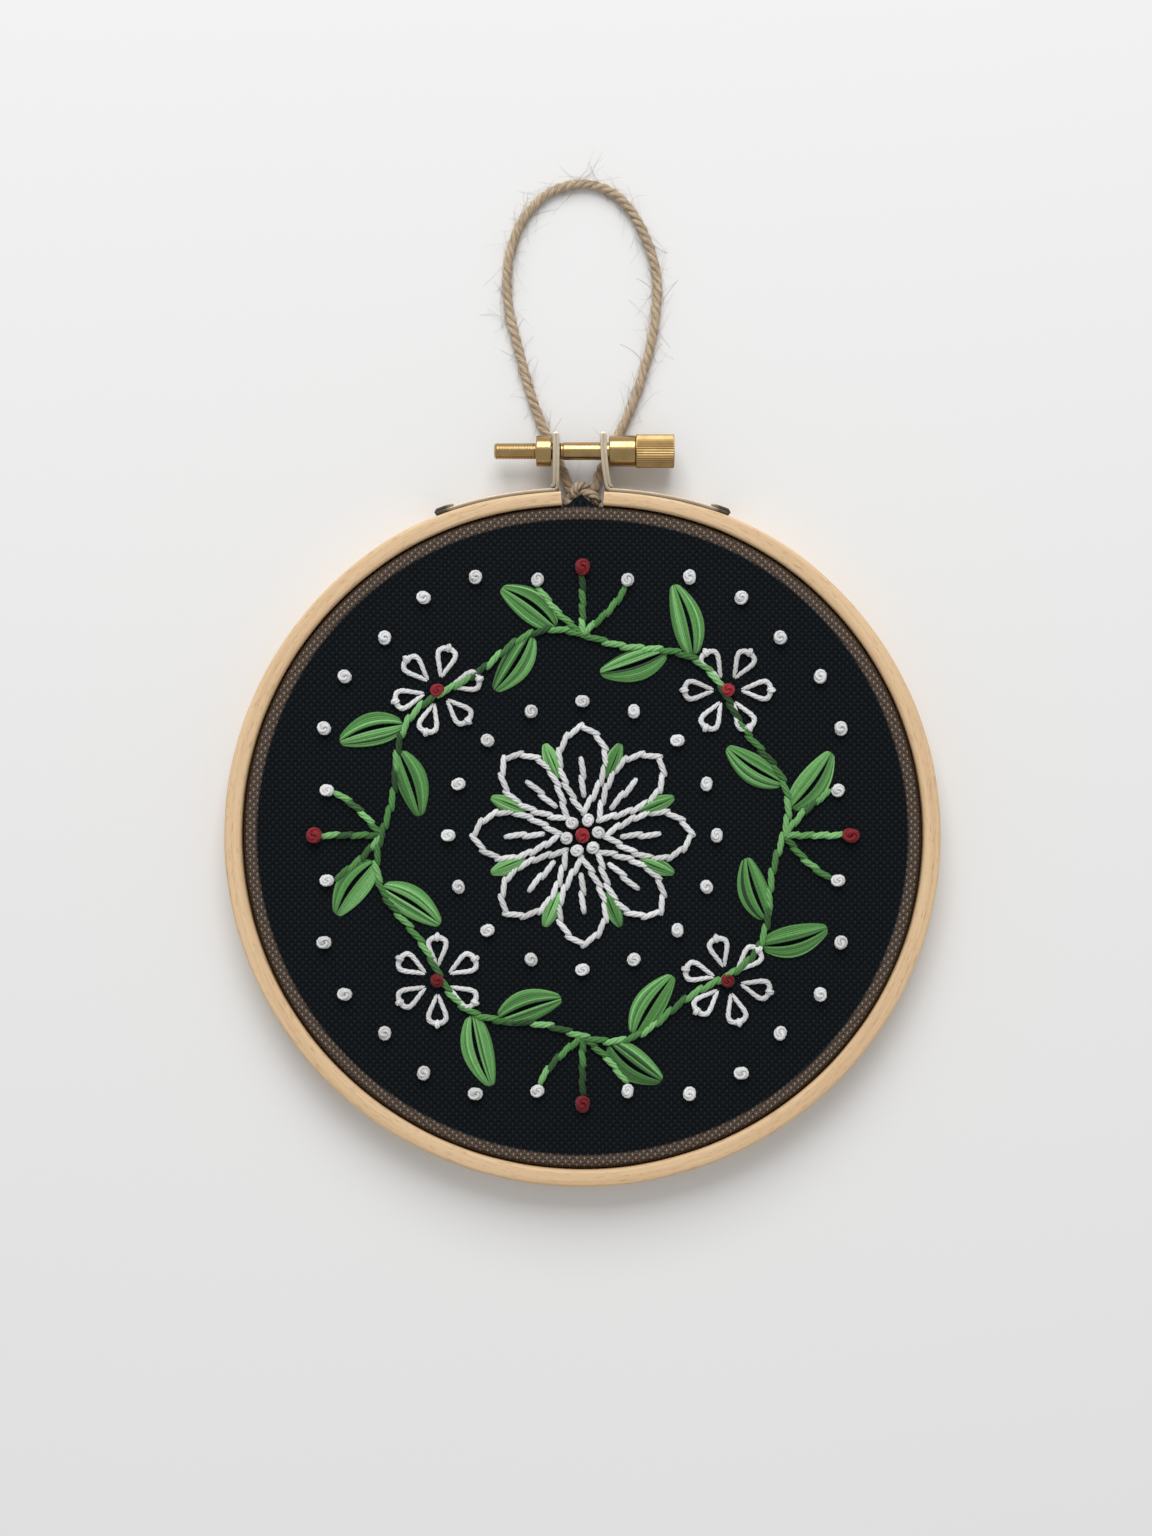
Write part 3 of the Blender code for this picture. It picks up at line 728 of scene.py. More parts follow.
def cloth_finish():
    """Matt black threads, with a painted highlight on the warp's crossings and painted shade on the
    weft's. Over the inner hoop's front edge pale wood shows through them, and painted brown shade lies
    on the skirt in the groove by the outer hoop.
    """
    finish, tree, shader = new_finish("black_cloth", 0.9)
    flat = add_node(tree, "ShaderNodeUVMap", uv_map="flat_cloth").outputs[0]
    inputs = {"Place": flat, "Pitch": WEAVE_PITCH, "Thread Share": THREAD_SHARE}
    weave = add_node(tree, "ShaderNodeGroup", inputs, node_tree=plain_weave)

    fluff = speckle(tree, flat, 1 / (0.35 * MM))
    patches = speckle(tree, flat, 1 / (18 * MM), 1.0)
    thread = mix_colours(tree, fluff, (0.0040, 0.0058, 0.0070, 1), (0.0105, 0.0138, 0.0160, 1))
    faded = between(tree, patches, 0.35, 0.7, 0.0, 0.25)
    thread = mix_colours(tree, faded, thread, (0.0075, 0.0100, 0.0120, 1))
    # Painted highlight on the warp's crossings and painted shade on the weft's crossings.
    raised = calculate(tree, "MULTIPLY", weave.outputs["Warp Highlight"], 0.7)
    thread = mix_colours(tree, raised, thread, (0.024, 0.029, 0.034, 1))
    weft_shade_share = calculate(tree, "MULTIPLY", weave.outputs["Weft Shade"], 0.9)
    thread = mix_colours(tree, weft_shade_share, thread, (0.0010, 0.0014, 0.0022, 1))

    radius = add_node(tree, "ShaderNodeVectorMath", {0: flat}, operation="LENGTH").outputs["Value"]
    rim_inner = RING_RADIUS - RING_WALL
    on_wood = between(tree, radius, rim_inner, rim_inner + WOOD_FADE)
    fade_start = CLOTH_RADIUS - RIM_FADE_START
    off_wood = between(tree, radius, fade_start, CLOTH_RADIUS - RIM_FADE_END, 1.0, 0.0)
    on_wood = calculate(tree, "MULTIPLY", on_wood, off_wood)
    place = add_node(tree, "ShaderNodeTexCoord").outputs["Object"]
    upwards = add_node(tree, "ShaderNodeSeparateXYZ", {0: place}).outputs[1]
    rim_top = CENTRE_Y + OVAL * (CLOTH_RADIUS - TOP_FLATTENING)
    off_pleat = between(tree, upwards, rim_top - PLEAT_FADE, rim_top, 1.0, 0.0)
    on_wood = calculate(tree, "MULTIPLY", on_wood, off_pleat)
    # Where wood shows through, the weft's crossings get painted shade and the warp's crossings a
    # painted highlight.
    backed = mix_colours(
        tree, weave.outputs["Weft Shade"], (0.112, 0.083, 0.063, 1), (0.030, 0.019, 0.013, 1)
    )
    backed = mix_colours(tree, weave.outputs["Warp Highlight"], backed, (0.34, 0.28, 0.23, 1))
    thread = mix_colours(tree, on_wood, thread, backed)
    # Painted shade: the cloth's skirt in the groove by the outer hoop is coloured warm brown like
    # shadowed wood. It fades out further down the skirt and is kept off the pleat.
    groove = between(tree, radius, CLOTH_RADIUS - GROOVE_SHADE_START, CLOTH_RADIUS)
    fade_start = CLOTH_RADIUS + GROOVE_SHADE_FADE_START
    fade_end = CLOTH_RADIUS + GROOVE_SHADE_FADE_END
    groove_shade_end = between(tree, radius, fade_start, fade_end, 1.0, 0.0)
    groove = calculate(tree, "MULTIPLY", groove, groove_shade_end)
    groove = calculate(tree, "MULTIPLY", groove, off_pleat)
    thread = mix_colours(tree, groove, thread, (0.085, 0.045, 0.018, 1))
    open_share = calculate(tree, "MULTIPLY", weave.outputs["Pore"], 0.45)
    colour = mix_colours(tree, open_share, thread, (0.0010, 0.0014, 0.0020, 1))
    tree.links.new(colour, shader.inputs["Base Color"])
    fuzzy = calculate(tree, "MULTIPLY_ADD", fluff, 0.25, weave.outputs["Height"])
    tree.links.new(bumped(tree, fuzzy, 0.22 * MM), shader.inputs["Normal"])
    shader.inputs["Specular IOR Level"].default_value = 0.06
    return finish


def make_cloth():
    bm = bmesh.new()
    flat_radius = bm.verts.layers.float.new("flat_radius")
    section = cloth_section()
    verts = [bm.verts.new((0.0, radius, z)) for radius, z in section]
    run = 0.0
    for last, vert in zip(verts, verts[1:]):
        bm.edges.new((last, vert))
        run += (vert.co - last.co).length
        vert[flat_radius] = run
    spin_round(bm, (0, 0, 1), 288)
    bmesh.ops.recalc_face_normals(bm, faces=bm.faces)
    middle = min(bm.faces, key=lambda face: face.calc_center_median().xy.length)
    if middle.normal.z < 0:
        bmesh.ops.reverse_faces(bm, faces=bm.faces)
    flat_cloth = bm.loops.layers.uv.new("flat_cloth")
    for face in bm.faces:
        for loop in face.loops:
            outwards = loop.vert.co.xy.normalized()
            loop[flat_cloth].uv = outwards * loop.vert[flat_radius]
    for vert in bm.verts:
        shape_cloth(vert)
    to_hoop_place(bm)
    sheet = add_piece(smooth_mesh(bm, "cloth_sheet", 80), cloth_finish(), "hoop")
    thickness = sheet.modifiers.new("thickness", "SOLIDIFY")
    thickness.thickness = SHEET_THICK
    thickness.offset = -1.0
    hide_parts("cloth")


make_cloth()

# Embroidery
# Stranded cotton sewn through the cloth: white lines in stem stitch, looped petals, green leaves
# filled lengthwise and coiled knots in white and red. The wreath is a plain folk design.

FACE_Z = CLOTH_FACE_Z - FACE_DROP
LINE_POINTS = 10
LOOP_POINTS = 24
LEAF_POINTS = 14
KNOT_COIL_POINTS = 26
STRAND_RADIUS = 0.29 * MM
STRAND_OFFSET = 0.33 * MM
TWIST_PITCH = 5.5 * MM
WREATH_RADIUS = 45.0
WREATH_WAVE = 1.8
WREATH_WAVES = 8
LEAF_ROOTS = (7.0, 14.0, 58.0, 65.0)
STALK_TURNS = (-16, 0, 16)
STALK_REACH = 13.0
BERRY_REACH = 15.0
FLOWER_SHARE = 1.02
PETAL_START = 2.0
PETAL_REACH = 9.6
PETAL_WIDTH = 4.6
THREAD_PITCH = 2.2 * MM


def on_cloth(flat_mm, height):
    """Points on the face from places in mm from its middle and heights in metres above it."""
    flat_mm = np.asarray(flat_mm, dtype=float)
    place = np.empty(flat_mm.shape[:-1] + (3,))
    place[..., 0] = flat_mm[..., 0] * MM
    place[..., 1] = flat_mm[..., 1] * MM + CENTRE_Y
    place[..., 2] = FACE_Z + height
    return place


def polar(radius, degrees):
    """A place in mm from the face's middle, its angle counted from the right."""
    turn = math.radians(degrees)
    return np.array((radius * math.cos(turn), radius * math.sin(turn)))


def heading(degrees):
    """The unit vector in this direction."""
    return polar(1.0, degrees)


def sewn_height(points, crown):
    """Height along a stitch that comes up through the cloth and goes down again."""
    t = np.linspace(0, 1, points)
    dive = 0.9 * MM
    return crown - (crown + dive) * (np.abs(2 * t - 1) ** 6)


def stem_line(route_mm, stitch_mm):
    """Slightly slanted stitches that overlap like a rope along a route."""
    slant = 0.22
    overlap = 1.32
    lengths = np.linalg.norm(np.diff(route_mm, axis=0), axis=1)
    count = max(2, round(float(np.sum(lengths)) / stitch_mm))
    stops = evenly_spaced(np.asarray(route_mm, dtype=float), count + 1)
    t = np.linspace(0, 1, LINE_POINTS)[:, None]
    height = sewn_height(LINE_POINTS, 0.55 * MM)
    stitches = []
    for start, end in zip(stops, stops[1:]):
        ahead = end - start
        across = np.array((-ahead[1], ahead[0])) * slant / 2
        middle = (start + end) / 2
        flat = middle + ahead * overlap * (t - 0.5) + across * (2 * t - 1)
        stitches.append(on_cloth(flat, height))
    return stitches


def looped_petal(root, tip, width_mm):
    """One chain loop from the root round the tip and back, with the short stitch that holds it."""
    t = np.linspace(0, 1, LOOP_POINTS)
    ahead = tip - root
    across = np.array((-ahead[1], ahead[0])) / np.linalg.norm(ahead)
    reach = np.sin(math.pi * t) ** 0.8
    swing = width_mm / 2 * np.sin(2 * math.pi * t) * (0.35 + 0.65 * reach)
    flat = root + ahead * reach[:, None] + across * swing[:, None]
    height = sewn_height(LOOP_POINTS, 0.6 * MM)
    hold = np.array([tip - 0.06 * ahead, tip + 0.10 * ahead])
    tie = on_cloth(evenly_spaced(hold, LINE_POINTS), sewn_height(LINE_POINTS, 1.1 * MM))
    return on_cloth(flat, height), tie


def filled_leaf(root, direction, length_mm, width_mm, bend, strands, groove):
    """Strands laid lengthwise from root to tip, fullest in the middle, parted along the vein."""
    t = np.linspace(0, 1, LEAF_POINTS)
    ahead = heading(direction)
    across = np.array((-ahead[1], ahead[0]))
    spine = root + np.outer(t * length_mm, ahead) + np.outer(bend * np.sin(math.pi * t), across)
    fullness = np.sin(math.pi * t**0.85) ** 0.75
    paths = []
    for k in range(strands):
        share = 2 * (k + 0.5) / strands - 1
        spread = share + math.copysign(groove, share) * (1 - abs(share))
        flat = spine + np.outer(spread * width_mm / 2 * fullness, across)
        crown = 0.28 * MM + 0.75 * MM * (1 - spread**2)
        height = crown * fullness - 0.7 * MM * (np.abs(2 * t - 1) ** 8)
        paths.append(on_cloth(flat, height))
    return paths


def coiled_knot(rng, centre, size_mm):
    """A French knot: the thread wound round itself and drawn down through its own middle."""
    turns = 2.35
    t = np.linspace(0, 1, KNOT_COIL_POINTS)
    start = rng.uniform(0, 2 * math.pi)
    turn = start + 2 * math.pi * turns * t
    drawn_in = 1 - np.clip((t - 0.86) / 0.14, 0, 1) * 0.9
    rise = np.clip(t / 0.12, 0, 1)
    radius = size_mm / 2 * (0.46 + 0.12 * np.sin(math.pi * t)) * drawn_in * (0.55 + 0.45 * rise)
    squash = 1 + 0.12 * math.sin(start)
    flat = np.stack((np.cos(turn) * radius * squash, np.sin(turn) * radius / squash), axis=1)
    height = (-0.5 + 0.9 * rise + 1.0 * t) * size_mm * 0.36 * MM
    height = height - np.clip((t - 0.9) / 0.1, 0, 1) * size_mm * 0.3 * MM
    return on_cloth(centre + flat, height)


def wreath_place(degrees):
    """A place on the wreath's waving stem."""
    wave = WREATH_WAVE * math.sin(math.radians(WREATH_WAVES * degrees))
    return polar(WREATH_RADIUS + wave, degrees)


def leaf_tones(rng, lowest, highest, spread, count):
    """Tones of one leaf's strands, spread about the leaf's own shade."""
    shade = rng.uniform(lowest, highest)
    return [min(max(shade + rng.normal(0, spread), 0.0), 1.0) for _ in range(count)]


def wreath_leaves(rng):
    """Leaves in turn outside and inside the stem, and small ones between the middle's petals."""
    paths = []
    tones = []
    for k in range(4 * len(LEAF_ROOTS)):
        degrees = 90 * (k // len(LEAF_ROOTS)) + LEAF_ROOTS[k % len(LEAF_ROOTS)]
        side = 1 if k % 2 else -1
        direction = degrees + 90 + side * 43
        length = rng.uniform(15.5, 18.0)
        leaf = filled_leaf(
            wreath_place(degrees), direction, length, rng.uniform(6.4, 7.4), side * 0.9, 13, 0.16
        )
        paths += leaf
        tones += leaf_tones(rng, 0.4, 0.7, 0.22, len(leaf))
    for k in range(8):
        degrees = 45 * k + 22.5
        leaf = filled_leaf(polar(13.5, degrees), degrees, 9.0, 3.6, 0.0, 7, 0.1)
        paths += leaf
        tones += leaf_tones(rng, 0.5, 0.8, 0.2, len(leaf))
    return np.array(paths), tones


def cotton_finish(name, dark, middle, light, sheen):
    """Stranded cotton with a soft sheen, shaded from strand to strand by its tone."""
    finish, tree, shader = new_finish(name, 0.55)
    inputs = {"Length": 1.2, "Fineness": 2.6}
    fibres = add_node(tree, "ShaderNodeGroup", inputs, node_tree=thread_fibres)
    low = between(tree, fibres.outputs["Tone"], 0.0, 0.5)
    high = between(tree, fibres.outputs["Tone"], 0.5, 1.0)
    colour = mix_colours(tree, high, mix_colours(tree, low, dark, middle), light)
    streak = between(tree, fibres.outputs["Fibre"], 0.35, 0.7)
    shade = between(tree, streak, 0.0, 1.0, 0.72, 1.06)
    grey = add_node(tree, "ShaderNodeCombineColor", {0: shade, 1: shade, 2: shade}).outputs[0]
    colour = mix_colours(tree, 1.0, colour, grey, "MULTIPLY")
    tree.links.new(colour, shader.inputs["Base Color"])
    tree.links.new(bumped(tree, streak, 0.05 * MM), shader.inputs["Normal"])
    shader.inputs["Specular IOR Level"].default_value = 0.3
    shader.inputs["Sheen Weight"].default_value = sheen
    shader.inputs["Sheen Roughness"].default_value = 0.4
    return finish


def sewn_piece(name, rng, centres, strands, scale, finish):
    """Stitches whose stranded thread winds along the given middle lines, as one piece."""
    centres = np.array(centres)
    t = np.linspace(0, 1, centres.shape[1])
    pinch = 0.45 + 0.55 * np.sin(math.pi * t) ** 0.4
    paths = twisted(centres, strands, STRAND_OFFSET * scale * pinch, TWIST_PITCH * scale)
    radii = STRAND_RADIUS * scale * (0.7 + 0.3 * pinch)[None, :]
    tones = np.tile(rng.random(len(centres)), strands)
    mesh = tubes(name, paths, radii, 6, tones, THREAD_PITCH)
    return add_piece(mesh, finish, "hoop")


def make_embroidery():
    rng = np.random.default_rng(5)
    white = cotton_finish(
        "white_thread", (0.74, 0.74, 0.73, 1), (0.88, 0.88, 0.88, 1), (0.96, 0.96, 0.96, 1), 0.2
    )
    green = cotton_finish(
        "green_thread", (0.020, 0.07, 0.018, 1), (0.105, 0.32, 0.075, 1), (0.30, 0.66, 0.24, 1), 0.2
    )
    red = cotton_finish(
        "red_thread", (0.18, 0.004, 0.008, 1), (0.30, 0.009, 0.018, 1), (0.42, 0.022, 0.034, 1), 0.2
    )

    stem_route = [wreath_place(degrees) for degrees in range(0, 361, 3)]
    stems = stem_line(np.array(stem_route), 4.2)
    for k in range(4):
        degrees = 90 * k
        root = wreath_place(degrees)
        for turn in STALK_TURNS:
            tip = polar(WREATH_RADIUS + STALK_REACH - abs(turn) / 8, degrees + turn * 0.62)
            bend = heading(degrees + 90) * turn / 16
            stalk = [root, (root + tip) / 2 + bend, tip]
            stems += stem_line(smooth_route(stalk, 6), 3.6)
    sewn_piece("stems_green", rng, stems, 4, 1.25, green)

    paths, tones = wreath_leaves(rng)
    t = np.linspace(0, 1, LEAF_POINTS)
    radii = 0.34 * MM * (0.55 + 0.45 * np.sin(math.pi * t) ** 0.5)[None, :]
    mesh = tubes("leaves_green", paths, radii, 6, tones, THREAD_PITCH)
    add_piece(mesh, green, "hoop")

    lines = []
    loops = []
    for k in range(4):
        centre = wreath_place(90 * k + 45) * FLOWER_SHARE
        for petal in range(6):
            direction = 60 * petal + 15 * k
            root = centre + heading(direction) * PETAL_START
            tip = centre + heading(direction) * PETAL_REACH
            loop, tie = looped_petal(root, tip, PETAL_WIDTH)
            loops.append(loop)
            lines.append(tie)
    for k in range(8):
        direction = 45 * k
        root = polar(5.0, direction)
        tip = polar(24.5, direction)
        side = heading(direction + 90)
        for sense in (-1, 1):
            outline = [
                root,
                polar(11.0, direction) + side * sense * 3.6,
                polar(17.5, direction) + side * sense * 5.4,
                polar(22.3, direction) + side * sense * 3.3,
                tip,
            ]
            lines += stem_line(smooth_route(outline, 8), 3.9)
        vein = [polar(9.0, direction), polar(17.0, direction)]
        lines += stem_line(np.array(vein), 4.0)
    sewn_piece("lines_white", rng, lines, 4, 1.15, white)
    sewn_piece("petals_white", rng, loops, 4, 1.05, white)

    dots = []
    for k in range(32):
        degrees = 11.25 * k
        if k % 8 not in (0, 1, 7):
            dots.append(coiled_knot(rng, polar(62.5 + 1.4 * (k % 2), degrees), 3.1))
    for k in range(16):
        dots.append(coiled_knot(rng, polar(30.0, 22.5 * k), 2.9))
    for k in range(6):
        dots.append(coiled_knot(rng, polar(3.6, 60 * k + 10), 2.6))
    for k in range(8):
        degrees = 90 * (k // 2) + (10 if k % 2 else -10)
        dots.append(coiled_knot(rng, polar(WREATH_RADIUS + STALK_REACH, degrees), 2.9))
    sewn_piece("knots_white", rng, dots, 3, 1.3, white)

    berries = []
    for k in range(4):
        berries.append(coiled_knot(rng, polar(WREATH_RADIUS + BERRY_REACH, 90 * k), 3.6))
        flower = wreath_place(90 * k + 45) * FLOWER_SHARE
        berries.append(coiled_knot(rng, flower, 2.8))
    berries.append(coiled_knot(rng, polar(0.0, 0.0), 3.2))
    sewn_piece("knots_red", rng, berries, 3, 1.45, red)


make_embroidery()

# Outer hoop
# A strip of pale wood bent into a ring that stays open at the top, sanded and left bare.
# It is clamped round the cloth and the inner hoop, and its sawn ends face each other.

OUTER_ROUNDING = 0.8 * MM
GAP_HALF = 4.75 * MM
OUTER_STEPS = 260


def make_outer_hoop():
    opening = math.asin(GAP_HALF / (HOOP_RADIUS - OUTER_WALL / 2))
    bm = wooden_section(HOOP_INNER_RADIUS, HOOP_RADIUS, 0.0, HOOP_FRONT_Z, OUTER_ROUNDING, 4)
    start = Matrix.Rotation(math.pi / 2 + opening, 3, "Z")
    bmesh.ops.rotate(bm, cent=(0, 0, 0), matrix=start, verts=bm.verts)
    spin_round(bm, (0, 0, 1), OUTER_STEPS, 2 * math.pi - 2 * opening)
    rims = [edge for edge in bm.edges if edge.is_boundary]
    bmesh.ops.holes_fill(bm, edges=rims, sides=0)
    bmesh.ops.recalc_face_normals(bm, faces=bm.faces)
    for vert in bm.verts:
        if vert.co.z > HOOP_FRONT_Z / 4:
            wander = noise.noise(vert.co / (9 * MM))
            outwards = Vector((vert.co.x, vert.co.y, 0.0)).normalized()
            vert.co += outwards * 0.07 * MM * (wander - 0.4)
            vert.co.z -= 0.05 * MM * abs(noise.noise(vert.co / (6 * MM)))
    to_hoop_place(bm)
    finish = wood_finish(
        "outer_wood", (0.82, 0.60, 0.37, 1), (0.62, 0.40, 0.21, 1), (0.36, 0.20, 0.10, 1), 0.5
    )
    ring = add_piece(smooth_mesh(bm, "outer_ring"), finish, "hoop")
    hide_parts("hoop_outer")


make_outer_hoop()

# Lug strips
# Thin nickel-plated steel, one strip on each side: hemmed at its far end, bent round the hoop
# and folded up double into a lug. The screw passes through a hole in both layers of the lug.

screw_low, screw_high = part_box("screw")
lug_low, lug_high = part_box("bracket_left")
SCREW_Y = (screw_low.y + screw_high.y) / 2
SCREW_Z = (screw_low.z + screw_high.z) / 2
LUG_TOP_Y = lug_high.y
STRIP_WIDTH = lug_high.z - lug_low.z
STRIP_THICK = 0.72 * MM
STRIP_GAP = 0.04 * MM
STRIP_END_X = 32.5 * MM
STRIP_STEPS = 16
LUG_ROWS = 7
HEM_STEPS = 4
FOLD_STEPS = 8
HEM_LENGTH = 3.6 * MM
LUG_THICK = 1.47 * MM
LUG_FACES = {"left": 5.15 * MM, "right": 3.95 * MM}
LUG_LEANS = {"left": 0.1 * MM, "right": 1.25 * MM}
LUG_HOLE_RADIUS = 2.3 * MM
BEND_SIZE = 0.6 * MM
FOOT_HEIGHT = 1.3 * MM
FOOT_LENGTH = 0.5 * MM
STRIP_EDGE = 0.05 * MM
DRILL_LENGTH = 30 * MM
SHADE_FULL_DOWN = 13 * MM
SHADE_GONE_DOWN = 3 * MM


def strip_line(lug_face, lean):
    """The strip's middle line seen from the front, for the right-hand side of the screw."""

    def on_hoop(x, layer):
        radius = HOOP_RADIUS + STRIP_GAP + STRIP_THICK * (0.5 + 1.04 * layer)
        round_y = math.sqrt(radius**2 - x**2) - pulled_down(radius, math.asin(x / radius))
        return Vector((x, CENTRE_Y + OVAL * round_y, 0.0))

    inner_x = lug_face + STRIP_THICK / 2
    outer_x = lug_face + LUG_THICK - STRIP_THICK / 2
    fold_radius = (outer_x - inner_x) / 2
    fold = Vector(((inner_x + outer_x) / 2, LUG_TOP_Y - fold_radius - STRIP_THICK / 2, 0.0))
    line = []
    for i in range(HEM_STEPS + 1):
        line.append(on_hoop(STRIP_END_X - HEM_LENGTH * (1 - i / HEM_STEPS), 1))
    tuck = (on_hoop(STRIP_END_X, 0) + on_hoop(STRIP_END_X, 1)) / 2
    line.append(tuck + Vector((0.3 * MM, -0.1 * MM, 0.0)))
    bend_x = inner_x + lean + BEND_SIZE
    for i in range(STRIP_STEPS + 1):
        line.append(on_hoop(STRIP_END_X + (bend_x - STRIP_END_X) * i / STRIP_STEPS, 0))
    foot = line[-1].y
    height = fold.y - foot

    def on_lug(x, lowest, i):
        up = lowest + (height - lowest) * i / LUG_ROWS
        return Vector((x + lean * (1 - up / height) ** 2, foot + up, 0.0))

    line += [on_lug(inner_x, BEND_SIZE, i) for i in range(LUG_ROWS)]
    for i in range(FOLD_STEPS + 1):
        turn = math.pi * (1 - i / FOLD_STEPS)
        line.append(fold + fold_radius * Vector((math.cos(turn), math.sin(turn), 0.0)))
    line += [on_lug(outer_x, FOOT_HEIGHT, i) for i in reversed(range(LUG_ROWS))]
    line.append(line[-1] + Vector((0.2 * MM, -0.4 * MM, 0.0)))
    line.append(line[-1] + Vector((FOOT_LENGTH, -0.12 * MM, 0.0)))
    return line


def nickel_finish():
    """Plated steel, bright but dulled by handling, with faint lines from rolling. Painted shade
    darkens the lug towards its foot and the hem's end.
    """
    finish, tree, shader = new_finish("nickel", 0.4, 1.0)
    place = add_node(tree, "ShaderNodeTexCoord").outputs["Object"]
    inputs = {"Vector": place, "Scale": (250.0, 250.0, 6000.0)}
    drawn = add_node(tree, "ShaderNodeMapping", inputs, vector_type="POINT").outputs[0]
    lines = speckle(tree, drawn, 1.0)
    marks = speckle(tree, place, 420.0, 3.0)
    stain = between(tree, marks, 0.45, 0.75)
    colour = mix_colours(tree, stain, (0.68, 0.59, 0.46, 1), (0.52, 0.42, 0.29, 1))
    parts = add_node(tree, "ShaderNodeSeparateXYZ", {0: place})
    # Painted shade: the lug gets darker towards its foot, where it meets the hoop.
    shade_full_y = LUG_TOP_Y - SHADE_FULL_DOWN
    shade_gone_y = LUG_TOP_Y - SHADE_GONE_DOWN
    foot_shade = between(tree, parts.outputs[1], shade_full_y, shade_gone_y, 0.75, 0.0)
    colour = mix_colours(tree, foot_shade, colour, (0.42, 0.33, 0.22, 1))
    # Painted shade: the strip's hemmed end is coloured dark.
    sideways = calculate(tree, "ABSOLUTE", parts.outputs[0])
    hem_shade = between(tree, sideways, STRIP_END_X - HEM_LENGTH, STRIP_END_X - HEM_LENGTH / 2)
    colour = mix_colours(tree, hem_shade, colour, (0.10, 0.085, 0.06, 1))
    tree.links.new(colour, shader.inputs["Base Color"])
    rough = between(tree, marks, 0.3, 0.7, 0.34, 0.48)
    tree.links.new(rough, shader.inputs["Roughness"])
    tree.links.new(bumped(tree, lines, 0.01 * MM), shader.inputs["Normal"])
    return finish


def cut_by(body, cutter):
    """Cuts the cutter's shape out of the body by a modifier."""
    hole = body.modifiers.new("hole", "BOOLEAN")
    hole.operation = "DIFFERENCE"
    hole.object = cutter


def baked(name, body, cutter, sharp_degrees):
    """The body's finished mesh. The body and its cutter are removed."""
    ready = bpy.context.evaluated_depsgraph_get()
    mesh = bpy.data.meshes.new_from_object(body.evaluated_get(ready))
    mesh.name = name
    bpy.data.objects.remove(body)
    bpy.data.objects.remove(cutter)
    mesh.set_sharp_from_angle(angle=math.radians(sharp_degrees))
    return mesh


def make_strip(side_name, sense, finish):
    """One strip with its hem, bend and folded lug, and the hole for the screw."""
    bm = bmesh.new()
    line = strip_line(LUG_FACES[side_name], LUG_LEANS[side_name])
    verts = [bm.verts.new(point) for point in line]
    edges = [bm.edges.new(pair) for pair in zip(verts, verts[1:])]
    grown = bmesh.ops.extrude_edge_only(bm, edges=edges)
    raised = [item for item in grown["geom"] if isinstance(item, bmesh.types.BMVert)]
    bmesh.ops.translate(bm, vec=(0.0, 0.0, STRIP_WIDTH), verts=raised)
    bmesh.ops.translate(bm, vec=(0.0, 0.0, lug_low.z), verts=bm.verts)
    bmesh.ops.scale(bm, vec=(sense, 1.0, 1.0), verts=bm.verts)
    bmesh.ops.recalc_face_normals(bm, faces=bm.faces)
    strip = placed("strip", smooth_mesh(bm, "strip"))

    bm = bmesh.new()
    bmesh.ops.create_cone(
        bm,
        cap_ends=True,
        segments=40,
        radius1=LUG_HOLE_RADIUS,
        radius2=LUG_HOLE_RADIUS,
        depth=DRILL_LENGTH,
    )
    sideways = Matrix.Rotation(math.pi / 2, 3, "Y")
    bmesh.ops.rotate(bm, cent=(0, 0, 0), matrix=sideways, verts=bm.verts)
    bmesh.ops.translate(bm, vec=(0.0, SCREW_Y, SCREW_Z), verts=bm.verts)
    drill = placed("drill", smooth_mesh(bm, "drill"))

    plate = strip.modifiers.new("plate", "SOLIDIFY")
    plate.thickness = STRIP_THICK
    plate.offset = 0.0
    cut_by(strip, drill)
    edge = strip.modifiers.new("edge", "BEVEL")
    edge.width = STRIP_EDGE
    edge.segments = 2
    edge.limit_method = "ANGLE"
    edge.angle_limit = math.radians(50)
    made = baked("lug_strip_" + side_name, strip, drill, 40)
    piece = add_piece(made, finish, "hoop")
    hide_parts("bracket_" + side_name)


nickel = nickel_finish()
make_strip("left", -1.0, nickel)
make_strip("right", 1.0, nickel)

# Clamp screw and nut
# Turned brass in one piece: a threaded shaft, a smooth collar that bears on the right lug and a
# knurled knob with a driver slot. A plain round nut on the thread bears on the left lug.

SHAFT_RADIUS = 2.0 * MM
THREAD_PITCH_LENGTH = 0.7 * MM
THREAD_DEPTH = 0.15 * MM
THREAD_RADIUS = 1.85 * MM
CHAMFER = 0.18 * MM
BESIDE_CHAMFER = 0.1 * MM
THREAD_STOP_X = -4.4 * MM
SCREW_END_X = screw_low.x
KNOB_END_X = screw_high.x
KNOB_START_X = 12.0 * MM
COLLAR_START_X = 6.0 * MM
COLLAR_RADIUS = 3.5 * MM
KNOB_RADIUS = 3.75 * MM
KNURLS = 42
KNURL_DEPTH = 0.16 * MM
SLOT_WIDTH = 0.9 * MM
SLOT_DEPTH = 0.9 * MM
NUT_CLEARANCE = 0.05 * MM


def turned(profile, steps):
    """Turns a profile of (x, radius) points about the X axis into a closed shape."""
    bm = bmesh.new()
    verts = [bm.verts.new((x, radius, 0.0)) for x, radius in profile]
    for pair in zip(verts, verts[1:]):
        bm.edges.new(pair)
    spin_round(bm, (1, 0, 0), steps)
    bmesh.ops.recalc_face_normals(bm, faces=bm.faces)
    return bm


